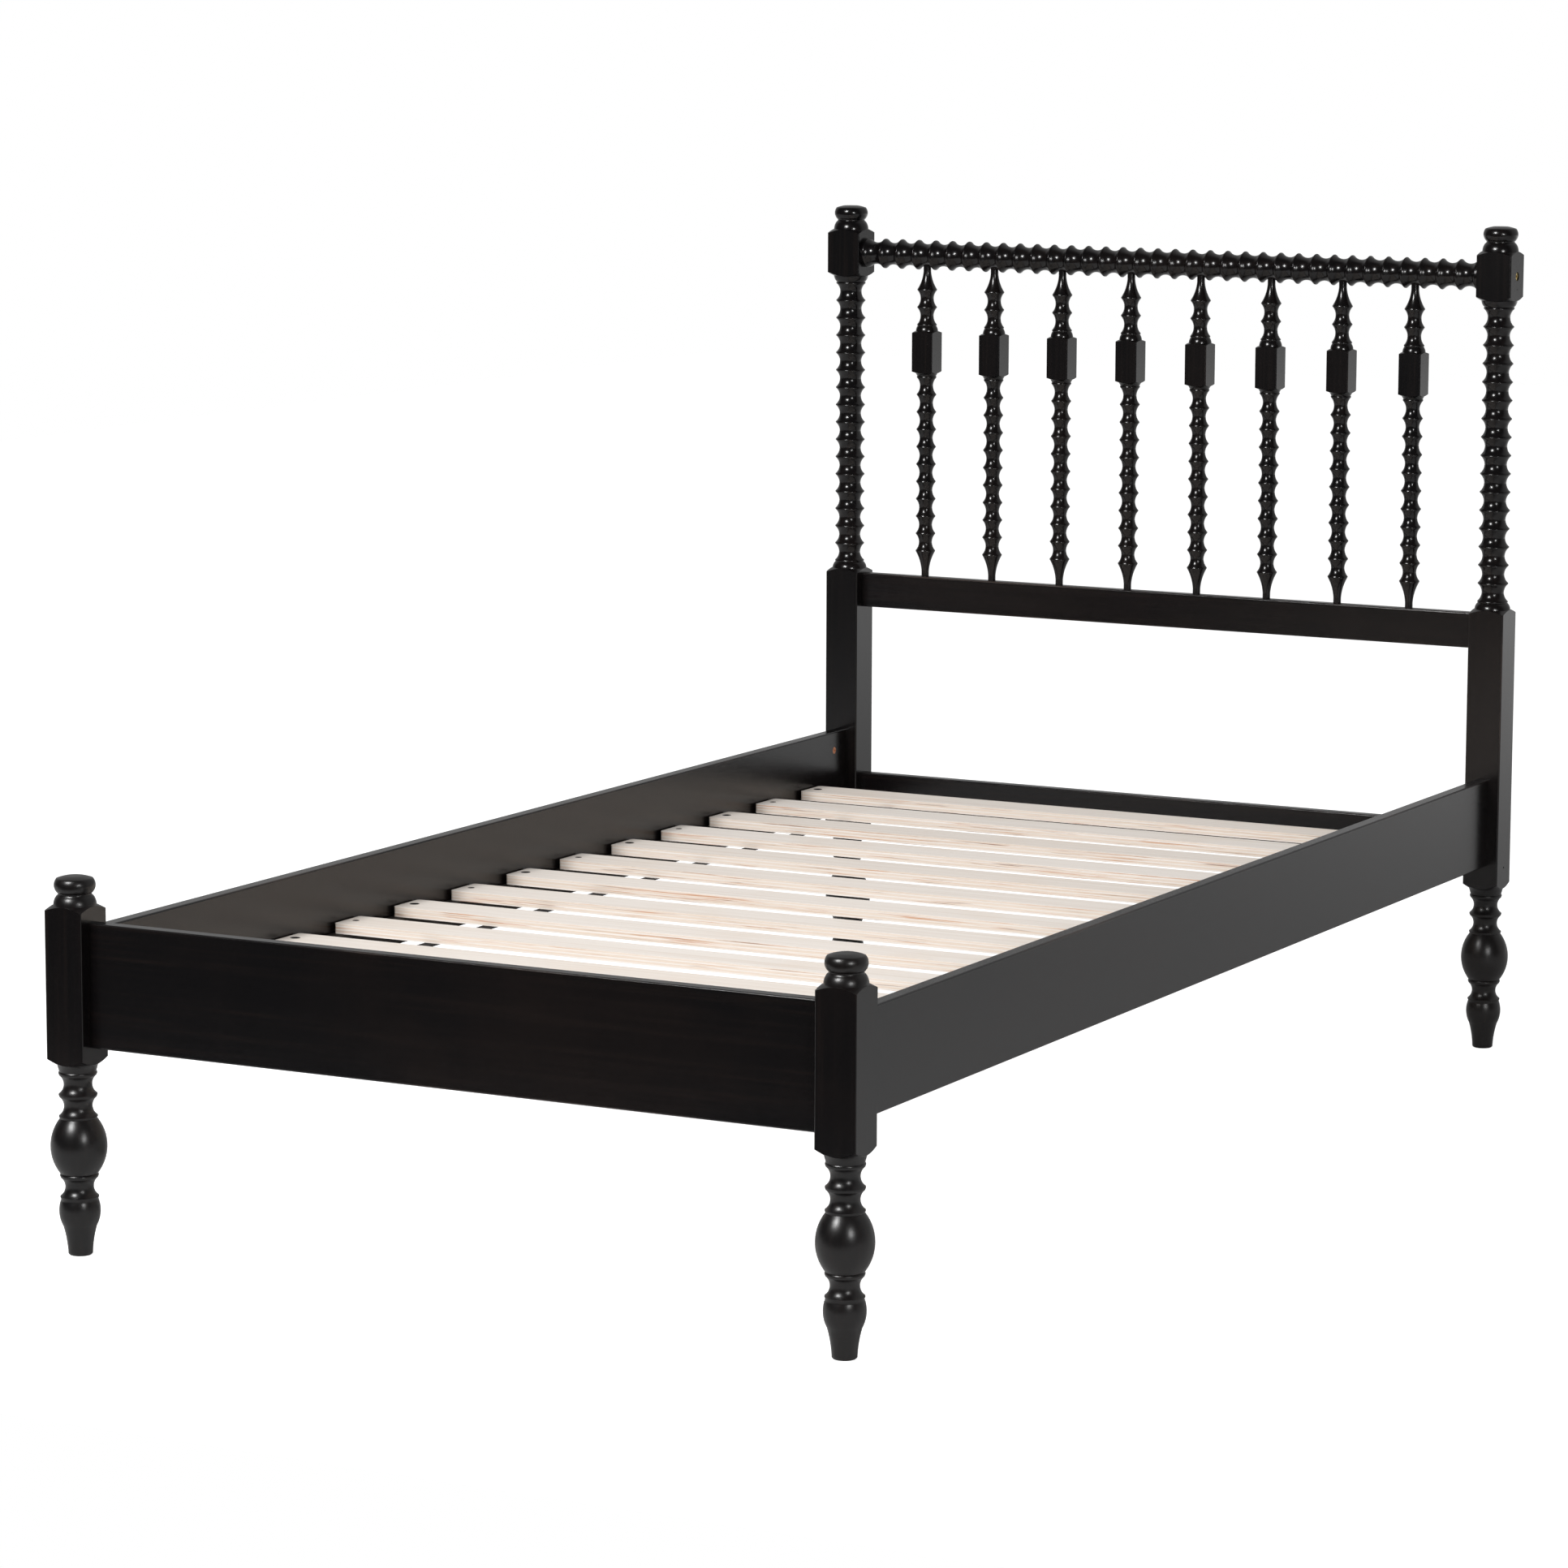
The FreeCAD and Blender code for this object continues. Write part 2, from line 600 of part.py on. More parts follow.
def make_post(label, side, end):
    """A post. side is -1 left or 1 right, end is -1 foot or 1 head."""
    body = new_body(label)
    block_top = FOOT_BLOCK_TOP if end < 0 else TOP_BLOCK_TOP
    squared_stock(body, "post_square", f"({total(block_top, CAP_LENGTH)} - {BELL_END})",
                  "post_edge_radius", BELL_END)
    turn_away(body, "shoulder", close_outside([("bell_radius", BELL_END), (POST_CORNER, LEG_TOP)]))
    turn_away(body, "cap", close_outside(cap_outline(block_top)))
    leg = new_sketch(body, "leg", "XZ_Plane")
    draw_outline(leg, leg_outline())
    revolve(body, "Revolution", leg, "V_Axis")
    inner = "-x" if side > 0 else "+x"
    outer = "+x" if side > 0 else "-x"
    toward_rail = "+y" if end < 0 else "-y"
    if end < 0:
        cut_mortise(body, "foot_rail", inner, FOOT_RAIL_BOTTOM, "foot_rail_height")
    else:
        turn_away(body, "shaft", close_outside(shaft_outline()))
        cut_coves(body, "cove", SHAFT_START, "shaft_pitch", "shaft_coves",
                  "shaft_ridge_radius", "shaft_valley_radius")
        cut_mortise(body, "mid_rail", inner, MID_RAIL_BOTTOM, "mid_rail_height")
        cut_mortise(body, "head_rail", inner, HEAD_RAIL_BOTTOM, "head_rail_height")
        drill(body, "rail_socket", inner, HALF_POST,
              [("0", TOP_RAIL_AXIS, "top_rail_tenon_radius + fit")], "top_rail_tenon_length + end_fit")
        drill(body, "bolt_seat", outer, HALF_POST,
              [("0", TOP_RAIL_AXIS, "bolt_head_radius + fit")], "bolt_recess + bolt_head_length")
        drill(body, "bolt_way", outer, HALF_POST,
              [("0", TOP_RAIL_AXIS, "bolt_shank_radius + fit")], "post_square - top_rail_tenon_length")
        drill(body, "pilot", outer, HALF_POST,
              [("0", total(LEG_TOP, "pilot_hole_lift"), "pilot_hole_radius")], "pilot_hole_depth")
        drill(body, "nail", outer, HALF_POST,
              [("0", f"({TOP_RAIL_AXIS} - nail_hole_drop)", "nail_hole_radius")], "nail_hole_depth")
    bolt_holes = [("0", total(SIDE_RAIL_BOTTOM, lift), "cam_bolt_radius + fit") for lift in CAM_HEIGHTS]
    drill(body, "cam_bolts", toward_rail, HALF_POST, bolt_holes, "cam_bolt_in_post + end_fit")
    drill(body, "dowel", toward_rail, HALF_POST,
          [("0", total(SIDE_RAIL_BOTTOM, "side_rail_height / 2"), "dowel_radius + fit")],
          "dowel_in_post + end_fit")
    return put(body, f"{side} * {HALF_ACROSS}", f"{end} * {HALF_ALONG}")


# ---------------------------------------------------------------------------
# Headboard: the ribbed top rail and the spindles
# ---------------------------------------------------------------------------
def make_top_rail():
    """A turned rail along X. It is made upright, and its placement lays it down."""
    body = new_body("top_rail")
    half = f"({CLEAR_ACROSS} / 2)"
    tenon = total(half, "top_rail_tenon_length")
    first = f"({half} - top_rail_margin)"
    last = total(first, "ridge_flat / 2")
    sketch = new_sketch(body, "bar", "XZ_Plane")
    draw_outline(sketch, [
        ("0", f"0 - {tenon}"),
        ("top_rail_tenon_radius", f"0 - {tenon}"),
        ("top_rail_tenon_radius", f"0 - {half}"),
        ("top_rail_end_radius", f"0 - {half}"),
        ("top_rail_ridge_radius", f"0 - {last}"),
        ("top_rail_ridge_radius", last),
        ("top_rail_end_radius", half),
        ("top_rail_tenon_radius", half),
        ("top_rail_tenon_radius", tenon),
        ("0", tenon),
    ])
    revolve(body, "Revolution", sketch, "V_Axis")
    cut_coves(body, "cove", f"(0 - {first})", TOP_RAIL_PITCH, "top_rail_coves",
              "top_rail_ridge_radius", "top_rail_valley_radius")
    for face, name in (("+z", "left_bolt"), ("-z", "right_bolt")):
        drill(body, name, face, tenon, [("0", "0", "bolt_shank_radius + fit")], "bolt_in_rail + end_fit")
    # the sockets run from near the rail's axis out through its underside, which is the body's +X side
    floor = "(top_rail_valley_radius - spindle_tenon_length - end_fit)"
    socket = new_sketch(body, "socket", "YZ_Plane", floor)
    draw_circle(socket, "0", FIRST_SPINDLE, "spindle_neck_radius + fit")
    hole = pocket(body, socket, "2 * top_rail_ridge_radius", "-x")
    repeat(body, hole, "Z_Axis", f"spindle_step * {TOP_RAIL_PITCH}", "spindle_count")
    body.Placement.Rotation = FreeCAD.Rotation(Vector(0, 1, 0), 90)
    return put(body, y=HALF_ALONG, z=TOP_RAIL_AXIS)


def make_spindle(index):
    """A turned spindle with one square block. Its body's origin is on the mid rail's top edge."""
    body = new_body(f"spindle_{index + 1}")
    ends = "(0 - spindle_tenon_length)"
    squared_stock(body, "spindle_square", total(SPINDLE_GAP, "2 * spindle_tenon_length"),
                  "spindle_edge_radius", ends)
    half_flat = "ridge_flat / 2"
    lower_top = total("spindle_foot_length", f"spindle_lower_coves * {SPINDLE_PITCH}")
    block_bottom = total(lower_top, "spindle_lower_collar")
    block_top = total(block_bottom, "spindle_block_length")
    upper_start = total(block_top, "spindle_upper_collar")
    upper_top = f"({SPINDLE_GAP} - spindle_head_length)"
    end = total(SPINDLE_GAP, "spindle_tenon_length")
    first = f"(spindle_foot_length - {half_flat})"
    neck_end = f"({SPINDLE_GAP} - spindle_neck_length)"
    last = total(upper_top, half_flat)
    low_notch = total(lower_top, half_flat, "spindle_notch_length")
    high_notch = f"({upper_start} - {half_flat} - spindle_notch_length)"
    bow = "(0 - spindle_taper_bow)"
    turn_away(body, "lower", close_outside([
        ("spindle_neck_radius", ends),
        ("spindle_neck_radius", "spindle_neck_length"),
        arc("spindle_ridge_radius", first, "spindle_neck_radius", "spindle_neck_length", bow),
        ("spindle_ridge_radius", total(lower_top, half_flat)),
        ("spindle_notch_radius", low_notch),
        ("spindle_collar_radius", f"({block_bottom} - spindle_shoulder)"),
        (SPINDLE_CORNER, block_bottom),
    ]))
    turn_away(body, "upper", close_outside([
        (SPINDLE_CORNER, block_top),
        ("spindle_collar_radius", total(block_top, "spindle_shoulder")),
        arc("spindle_notch_radius", high_notch, "spindle_collar_radius",
            total(block_top, "spindle_shoulder"), "spindle_collar_bulge"),
        ("spindle_ridge_radius", f"({upper_start} - {half_flat})"),
        ("spindle_ridge_radius", last),
        arc("spindle_neck_radius", neck_end, "spindle_ridge_radius", last, bow),
        ("spindle_neck_radius", end),
    ]))
    cut_coves(body, "lower_cove", "spindle_foot_length", SPINDLE_PITCH, "spindle_lower_coves",
              "spindle_ridge_radius", "spindle_valley_radius")
    cut_coves(body, "upper_cove", upper_start, SPINDLE_PITCH, "spindle_upper_coves",
              "spindle_ridge_radius", "spindle_valley_radius")
    place = f"({FIRST_SPINDLE} + {index} * spindle_step * {TOP_RAIL_PITCH})"
    return put(body, place, HALF_ALONG, MID_RAIL_TOP)


# ---------------------------------------------------------------------------
# Flat rails
# ---------------------------------------------------------------------------
def make_cross_rail(label, height, end, bottom):
    """A flat rail between the two posts of one end, with a shouldered tenon in each post."""
    body = new_body(label)
    board = new_sketch(body, "board", "YZ_Plane")
    draw_rectangle(board, f"0 - {HALF_RAIL}", "0", HALF_RAIL, height)
    blank = pad(body, board, CLEAR_ACROSS, both_ways=True)
    round_edges(body, blank, "rail_edge_radius", Vector(1, 0, 0))
    tenon = new_sketch(body, "tenons", "YZ_Plane")
    draw_rectangle(tenon, "0 - tenon_thickness / 2", "tenon_shoulder",
                   "tenon_thickness / 2", f"{height} - tenon_shoulder")
    pad(body, tenon, f"{CLEAR_ACROSS} + 2 * tenon_length", both_ways=True)
    return put(body, y=f"{end} * {HALF_ALONG}", z=bottom)


def make_mid_rail():
    """The flat rail that the spindles stand in."""
    body = make_cross_rail("mid_rail", "mid_rail_height", 1, MID_RAIL_BOTTOM)
    hole = drill(body, "spindle_socket", "+z", "mid_rail_height",
                 [(FIRST_SPINDLE, "0", "spindle_neck_radius + fit")], "spindle_tenon_length + end_fit")
    repeat(body, hole, "X_Axis", f"spindle_step * {TOP_RAIL_PITCH}", "spindle_count")


def make_side_rail(label, side):
    """A side rail, bored for its two end fittings, its dowels and the ledger's screws."""
    body = new_body(label)
    board = new_sketch(body, "board", "XZ_Plane")
    draw_rectangle(board, f"0 - {HALF_RAIL}", "0", HALF_RAIL, "side_rail_height")
    blank = pad(body, board, CLEAR_ALONG, both_ways=True)
    round_edges(body, blank, "rail_edge_radius", Vector(0, 1, 0))
    inner = "-x" if side > 0 else "+x"
    cam_y = f"({CLEAR_ALONG} / 2 - cam_inset)"
    cams = [(f"{end} * {cam_y}", height, "cam_radius + fit") for end in (-1, 1) for height in CAM_HEIGHTS]
    drill(body, "cams", inner, HALF_RAIL, cams, "cam_depth")
    for face, name in (("+y", "head"), ("-y", "foot")):
        bolts = [("0", height, "cam_bolt_radius + fit") for height in CAM_HEIGHTS]
        drill(body, f"{name}_bolts", face, f"({CLEAR_ALONG} / 2)", bolts, "cam_inset")
        drill(body, f"{name}_dowel", face, f"({CLEAR_ALONG} / 2)",
              [("0", "side_rail_height / 2", "dowel_radius + fit")], "dowel_in_rail + end_fit")
    height = f"({LEDGER_BOTTOM} + ledger_height / 2 - {SIDE_RAIL_BOTTOM})"
    screw = drill(body, "ledger_screw", inner, HALF_RAIL,
                  [(FIRST_LEDGER_SCREW, height, "screw_shank_radius + fit")],
                  "ledger_screw_length - ledger_width + end_fit")
    repeat(body, screw, "Y_Axis", LEDGER_SCREW_PITCH, "ledger_screw_count")
    return put(body, f"{side} * {HALF_ACROSS}", z=SIDE_RAIL_BOTTOM)


# ---------------------------------------------------------------------------
# Slats, the ledgers that carry them and the webbing that joins them
# ---------------------------------------------------------------------------
def make_ledger(label, side):
    """A square strip screwed inside a side rail, for the ends of the slats."""
    body = new_body(label)
    strip = new_sketch(body, "strip", "XZ_Plane")
    draw_rectangle(strip, "0 - ledger_width / 2", "0", "ledger_width / 2", "ledger_height")
    blank = pad(body, strip, LEDGER_LENGTH, both_ways=True)
    round_edges(body, blank, "ledger_edge_radius", Vector(0, 1, 0))
    pilot = drill(body, "slat_screw", "+z", "ledger_height",
                  [(f"{side} * ({SLAT_SCREW_X} - {LEDGER_X})", f"0 - {LAST_SLAT}",
                    "screw_shank_radius + fit")], "slat_screw_length - slat_thickness + end_fit")
    repeat(body, pilot, "Y_Axis", SLAT_PITCH, "slat_count")
    # a countersunk hole through the strip, its axis along X
    across = f"(0 - {side} * ledger_width / 2)"
    back = f"({side} * ledger_width / 2)"
    hole = "(screw_shank_radius + fit)"
    sketch = new_sketch(body, "rail_screw", "XZ_Plane", f"0 - {FIRST_LEDGER_SCREW}",
                        rise="ledger_height / 2")
    draw_outline(sketch, [
        (across, "0"),
        (across, "countersink_close"),
        (f"{across} + {side} * (countersink_close - {hole})", hole),
        (back, hole),
        (back, "0"),
    ])
    before = body.Shape.Volume
    screw = check_cut(body, revolve(body, "Groove", sketch, "H_Axis"), before)
    repeat(body, screw, "Y_Axis", LEDGER_SCREW_PITCH, "ledger_screw_count")
    return put(body, f"{side} * {LEDGER_X}", z=LEDGER_BOTTOM)


def slat_countersink(index):
    """The slats' screw holes are wide and close by turns."""
    return "countersink_wide" if index % 2 == 0 else "countersink_close"


def make_slat(index):
    """A flat slat with a countersunk hole at each end and four staple holes for the webbing."""
    body = new_body(f"slat_{index + 1:02d}")
    outline = new_sketch(body, "board", "XY_Plane")
    draw_rectangle(outline, f"0 - {HALF_SLAT_LENGTH}", "0 - slat_width / 2",
                   HALF_SLAT_LENGTH, "slat_width / 2")
    blank = pad(body, outline, "slat_thickness")
    round_edges(body, blank, "slat_corner_radius", Vector(0, 0, 1))
    mouth = slat_countersink(index)
    hole = "(screw_shank_radius + fit)"
    for side, name in ((-1, "left_screw"), (1, "right_screw")):
        turn_away(body, name, [
            ("0", "slat_thickness"),
            (mouth, "slat_thickness"),
            (hole, f"slat_thickness - ({mouth} - {hole})"),
            (hole, "0"),
            ("0", "0"),
        ], shift=f"{side} * {SLAT_SCREW_X}")
    legs = new_sketch(body, "staple_legs", "XY_Plane")
    draw_staple_holes(legs, (-1, 1), "0")
    pocket(body, legs, "staple_leg - strap_thickness + end_fit", "-z")
    return put(body, y=f"({index} * {SLAT_PITCH} - {LAST_SLAT})", z=SLAT_BOTTOM)


def draw_staple_holes(sketch, sides, y):
    """Square holes for the two legs of each staple."""
    reach = "(staple_wire / 2 + fit)"
    for side in sides:
        for leg in (-1, 1):
            x = f"({side} * strap_offset + {leg} * (staple_width - staple_wire) / 2)"
            draw_rectangle(sketch, f"{x} - {reach}", f"{y} - {reach}", f"{x} + {reach}", f"{y} + {reach}")


def make_strap(label, side):
    """A webbing strap under the slats, which keeps them at their pitch."""
    body = new_body(label)
    band = new_sketch(body, "band", "XY_Plane")
    length = f"({LAST_SLAT} + strap_tail)"
    middle = f"({side} * strap_offset)"
    draw_rectangle(band, f"{middle} - strap_width / 2", f"0 - {length}",
                   f"{middle} + strap_width / 2", length)
    pad(body, band, "strap_thickness")
    holes = new_sketch(body, "staple_holes", "XY_Plane")
    draw_staple_holes(holes, (side,), f"(0 - {LAST_SLAT})")
    cut = pocket(body, holes, "strap_thickness", "-z")
    repeat(body, cut, "Y_Axis", SLAT_PITCH, "slat_count")
    return put(body, z=f"({SLAT_BOTTOM} - strap_thickness)")


def make_staples():
    """A staple at each crossing of a strap and a slat."""
    body = new_body("strap_staples", several=True)
    wire = new_sketch(body, "wire", "XZ_Plane", LAST_SLAT)
    left = "(strap_offset - staple_width / 2)"
    right = "(strap_offset + staple_width / 2)"
    crown = f"({SLAT_BOTTOM} - strap_thickness)"
    tip = f"({crown} + staple_leg)"
    draw_outline(wire, [
        (left, f"{crown} - staple_wire"),
        (right, f"{crown} - staple_wire"),
        (right, tip),
        (f"{right} - staple_wire", tip),
        (f"{right} - staple_wire", crown),
        (f"{left} + staple_wire", crown),
        (f"{left} + staple_wire", tip),
        (left, tip),
    ])
    staple = pad(body, wire, "staple_wire", both_ways=True)
    mirror(body, [staple], "YZ_Plane", row=("Y_Axis", SLAT_PITCH, "slat_count"))


# ---------------------------------------------------------------------------
# Screws, bolts, cams and dowels
# ---------------------------------------------------------------------------
def cut_cross(body, name, face, plane, lift, x, y):
    """The cross recess in the head of a wood screw."""
    cuts = []
    for bar, width, height in (("bar", "screw_cross_length", "screw_cross_width"),
                               ("post", "screw_cross_width", "screw_cross_length")):
        sketch = new_sketch(body, f"{name}_{bar}", plane, lift)
        draw_rectangle(sketch, f"{x} - {width} / 2", f"{y} - {height} / 2",
                       f"{x} + {width} / 2", f"{y} + {height} / 2")
        cuts.append(pocket(body, sketch, "screw_cross_depth", face))
    return cuts


def make_slat_screws():
    """Two countersunk screws in every slat."""
    body = new_body("slat_screws", several=True)
    for index, name, count in ((0, "wide", "(slat_count + 1) / 2"), (1, "close", "(slat_count - 1) / 2")):
        top = f"({SLAT_TOP} - ({slat_countersink(index)} - screw_head_radius - fit))"
        tip = f"({SLAT_TOP} - slat_screw_length)"
        y = f"({LAST_SLAT} - {index} * {SLAT_PITCH})"
        sketch = new_sketch(body, name, "XZ_Plane", y, shift=SLAT_SCREW_X)
        draw_outline(sketch, [
            ("0", top),
            ("screw_head_radius", top),
            ("screw_shank_radius", f"{top} - (screw_head_radius - screw_shank_radius)"),
            ("screw_shank_radius", f"{tip} + screw_shank_radius"),
            ("0", tip),
        ])
        screw = revolve(body, "Revolution", sketch, "V_Axis")
        cross = cut_cross(body, f"{name}_cross", "+z", "XY_Plane", top, SLAT_SCREW_X, f"(0 - {y})")
        mirror(body, [screw, *cross], "YZ_Plane", row=("Y_Axis", f"(2 * {SLAT_PITCH})", count))


def make_ledger_screws():
    """The screws that hold the ledgers to the side rails."""
    body = new_body("ledger_screws", several=True)
    face = f"({RAIL_FACE} - ledger_width)"
    head = f"({face} + countersink_close - screw_head_radius - fit)"
    tip = f"({face} + ledger_screw_length)"
    middle = f"({LEDGER_BOTTOM} + ledger_height / 2)"
    sketch = new_sketch(body, "screw", "XZ_Plane", f"0 - {FIRST_LEDGER_SCREW}", rise=middle)
    draw_outline(sketch, [
        (head, "0"),
        (head, "screw_head_radius"),
        (f"{head} + screw_head_radius - screw_shank_radius", "screw_shank_radius"),
        (f"{tip} - screw_shank_radius", "screw_shank_radius"),
        (tip, "0"),
    ])
    screw = revolve(body, "Revolution", sketch, "H_Axis")
    cross = cut_cross(body, "cross", "-x", "YZ_Plane", head, FIRST_LEDGER_SCREW, middle)
    mirror(body, [screw, *cross], "YZ_Plane", row=("Y_Axis", LEDGER_SCREW_PITCH, "ledger_screw_count"))


def make_cam_nuts():
    """The slotted barrel that draws each bolt tight, two at each end of a side rail."""
    body = new_body("rail_cam_nuts", several=True)
    y = f"({CLEAR_ALONG} / 2 - cam_inset)"
    z = total(SIDE_RAIL_BOTTOM, "cam_margin")
    barrel = new_sketch(body, "barrel", "YZ_Plane", RAIL_FACE)
    draw_circle(barrel, y, z, "cam_radius")
    drum = pad(body, barrel, "cam_depth")
    way = new_sketch(body, "bolt_way", "XZ_Plane", f"0 - ({y} + cam_radius)")
    draw_circle(way, HALF_ACROSS, z, "cam_bolt_tip_radius + fit")
    bore = pocket(body, way, "2 * cam_radius", "+y")
    slot = new_sketch(body, "slot", "YZ_Plane", RAIL_FACE)
    draw_rectangle(slot, f"{y} - cam_slot_length / 2", f"{z} - cam_slot_width / 2",
                   f"{y} + cam_slot_length / 2", f"{z} + cam_slot_width / 2")
    groove = pocket(body, slot, "cam_slot_depth", "-x")
    mirror(body, [drum, bore, groove], "YZ_Plane", "XZ_Plane", row=CAM_ROW)


def make_cam_bolts():
    """The steel bolts between the posts and the cams."""
    body = new_body("rail_cam_bolts", several=True)
    face = f"({CLEAR_ALONG} / 2)"
    shoulder = f"({face} - cam_inset + cam_radius + end_fit)"
    tip = f"({face} - cam_inset - cam_radius + end_fit)"
    end = total(face, "cam_bolt_in_post")
    sketch = new_sketch(body, "bolt", "YZ_Plane", HALF_ACROSS, rise=total(SIDE_RAIL_BOTTOM, "cam_margin"))
    draw_outline(sketch, [
        (tip, "0"),
        (tip, "cam_bolt_tip_radius"),
        (shoulder, "cam_bolt_tip_radius"),
        (shoulder, "cam_bolt_radius"),
        (end, "cam_bolt_radius"),
        (end, "0"),
    ])
    bolt = revolve(body, "Revolution", sketch, "H_Axis")
    mirror(body, [bolt], "YZ_Plane", "XZ_Plane", row=CAM_ROW)


def make_dowels():
    """One wooden dowel in each end of a side rail."""
    body = new_body("rail_dowels", several=True)
    end = f"({CLEAR_ALONG} / 2 + dowel_in_post)"
    sketch = new_sketch(body, "dowel", "XZ_Plane", f"0 - {end}")
    draw_circle(sketch, HALF_ACROSS, total(SIDE_RAIL_BOTTOM, "side_rail_height / 2"), "dowel_radius")
    dowel = pad(body, sketch, "dowel_in_post + dowel_in_rail")
    mirror(body, [dowel], "YZ_Plane", "XZ_Plane")


def make_top_rail_bolts():
    """A bolt through each top square into the end of the top rail."""
    body = new_body("top_rail_bolts", several=True)
    outer = f"({HALF_ACROSS} + {HALF_POST} - bolt_recess)"
    seat = f"({outer} - bolt_head_length)"
    tip = f"({CLEAR_ACROSS} / 2 + top_rail_tenon_length - bolt_in_rail)"
    sketch = new_sketch(body, "bolt", "XZ_Plane", f"0 - {HALF_ALONG}", rise=TOP_RAIL_AXIS)
    draw_outline(sketch, [
        (tip, "0"),
        (tip, "bolt_shank_radius"),
        (seat, "bolt_shank_radius"),
        (seat, "bolt_head_radius"),
        (outer, "bolt_head_radius"),
        (outer, "0"),
    ])
    bolt = revolve(body, "Revolution", sketch, "H_Axis")
    key = new_sketch(body, "key", "YZ_Plane", outer)
    half = "(bolt_key_width / 2)"
    point = f"({half} * 2 / 3 ^ 0.5)"
    flat = f"({point} / 2)"
    hexagon = [(point, "0"), (flat, half), (f"(0 - {flat})", half),
               (f"(0 - {point})", "0"), (f"(0 - {flat})", f"(0 - {half})"), (flat, f"(0 - {half})")]
    draw_outline(key, [(f"{HALF_ALONG} + {y}", f"{TOP_RAIL_AXIS} + {z}") for y, z in hexagon])
    recess = pocket(body, key, "bolt_key_depth", "+x")
    mirror(body, [bolt, recess], "YZ_Plane")


# ---------------------------------------------------------------------------
# The bed
# ---------------------------------------------------------------------------
SIDES = (("left", -1), ("right", 1))

for side_name, side_sign in SIDES:
    make_post(f"foot_post_{side_name}", side_sign, -1)
    make_post(f"head_post_{side_name}", side_sign, 1)
    make_side_rail(f"side_rail_{side_name}", side_sign)
    make_ledger(f"slat_ledger_{side_name}", side_sign)
    make_strap(f"webbing_strap_{side_name}", side_sign)

make_top_rail()
for spindle_index in range(int(number("spindle_count"))):
    make_spindle(spindle_index)

make_cross_rail("foot_rail", "foot_rail_height", -1, FOOT_RAIL_BOTTOM)
make_cross_rail("head_bottom_rail", "head_rail_height", 1, HEAD_RAIL_BOTTOM)
make_mid_rail()

for slat_index in range(int(number("slat_count"))):
    make_slat(slat_index)

make_top_rail_bolts()
make_cam_nuts()
make_cam_bolts()
make_dowels()
make_ledger_screws()
make_slat_screws()
make_staples()
doc.recompute()

for item in doc.Objects:
    if "Invalid" in item.State or "Error" in item.State:
        raise ValueError(f"{item.Name} is {item.State}")

pieces = [item for item in doc.Objects if item.TypeId == "PartDesign::Body"]
for piece in pieces:
    if piece.Shape.isNull() or not piece.Shape.isValid():
        raise ValueError(f"{piece.Label} has no valid shape")

os.makedirs("parts", exist_ok=True)
for piece in pieces:
    piece.Shape.exportStep(os.path.join("parts", f"{piece.Label}.step"))
    print(f"{piece.Label:20s} {len(piece.Shape.Solids):3d} solids {piece.Shape.Volume / 1000:10.1f} cm3")
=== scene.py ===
# %% [markdown]
# # A spindle bed in black paint
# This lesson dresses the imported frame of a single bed: four turned posts, a ribbed headboard, flat
# rails and a base of pale slats. The frame gives every size and place. Blender adds what paint, wood
# and metal look like, and makes the turned and rounded pieces again with smooth surfaces.

# %% Load the frame
import cmath
import math

import bmesh
import bpy
from mathutils import Matrix, Vector


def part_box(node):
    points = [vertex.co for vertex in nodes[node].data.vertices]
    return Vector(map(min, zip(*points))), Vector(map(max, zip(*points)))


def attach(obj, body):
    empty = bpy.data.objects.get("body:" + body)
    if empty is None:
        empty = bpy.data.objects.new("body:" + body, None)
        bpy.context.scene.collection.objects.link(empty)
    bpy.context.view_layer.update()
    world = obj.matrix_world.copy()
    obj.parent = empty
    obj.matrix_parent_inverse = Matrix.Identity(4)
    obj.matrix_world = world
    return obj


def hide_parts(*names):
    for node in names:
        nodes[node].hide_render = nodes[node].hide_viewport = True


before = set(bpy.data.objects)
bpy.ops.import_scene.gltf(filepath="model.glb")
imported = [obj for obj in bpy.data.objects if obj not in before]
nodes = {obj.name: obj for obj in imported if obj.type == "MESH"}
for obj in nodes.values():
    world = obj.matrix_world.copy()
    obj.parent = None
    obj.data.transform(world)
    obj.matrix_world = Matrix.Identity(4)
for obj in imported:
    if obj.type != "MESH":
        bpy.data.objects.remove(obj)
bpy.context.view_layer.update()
MM = 0.001

# %% [markdown]
# ## The camera
# The photo was taken from the front right, a little above the mattress line, with a long lens. The
# place and the turn of the camera were worked out from the edges and ridges of the bed. The picture was
# trimmed after it was taken, so the lens's axis doesn't pass through its middle: a small shift does that.

# %% Set up the camera
PHOTO_WIDTH = 1932
SENSOR = 36.0
FOCAL_PIXELS = 6642.77
AXIS_X = 1249.68
AXIS_Y = 939.50
CAMERA_PLACE = (3.2060, -6.1226, 1.5372)

view = bpy.data.cameras.new("camera")
view.sensor_width = SENSOR
view.lens = FOCAL_PIXELS / PHOTO_WIDTH * SENSOR
view.shift_x = (PHOTO_WIDTH / 2 - AXIS_X) / PHOTO_WIDTH
view.shift_y = (AXIS_Y - PHOTO_WIDTH / 2) / PHOTO_WIDTH

right = Vector((0.8992394, 0.43735094, 0.00962634))
up = Vector((-0.07333477, 0.12901714, 0.98892699))
forward = Vector((-0.43126618, 0.88998805, -0.14809032))
camera = bpy.data.objects.new("camera", view)
turn = Matrix((right, up, -forward)).transposed().to_4x4()
camera.matrix_world = Matrix.Translation(CAMERA_PLACE) @ turn
bpy.context.scene.collection.objects.link(camera)
bpy.context.scene.camera = camera
print("lens", round(view.lens, 1), "mm, shift", round(view.shift_x, 3), round(view.shift_y, 3))

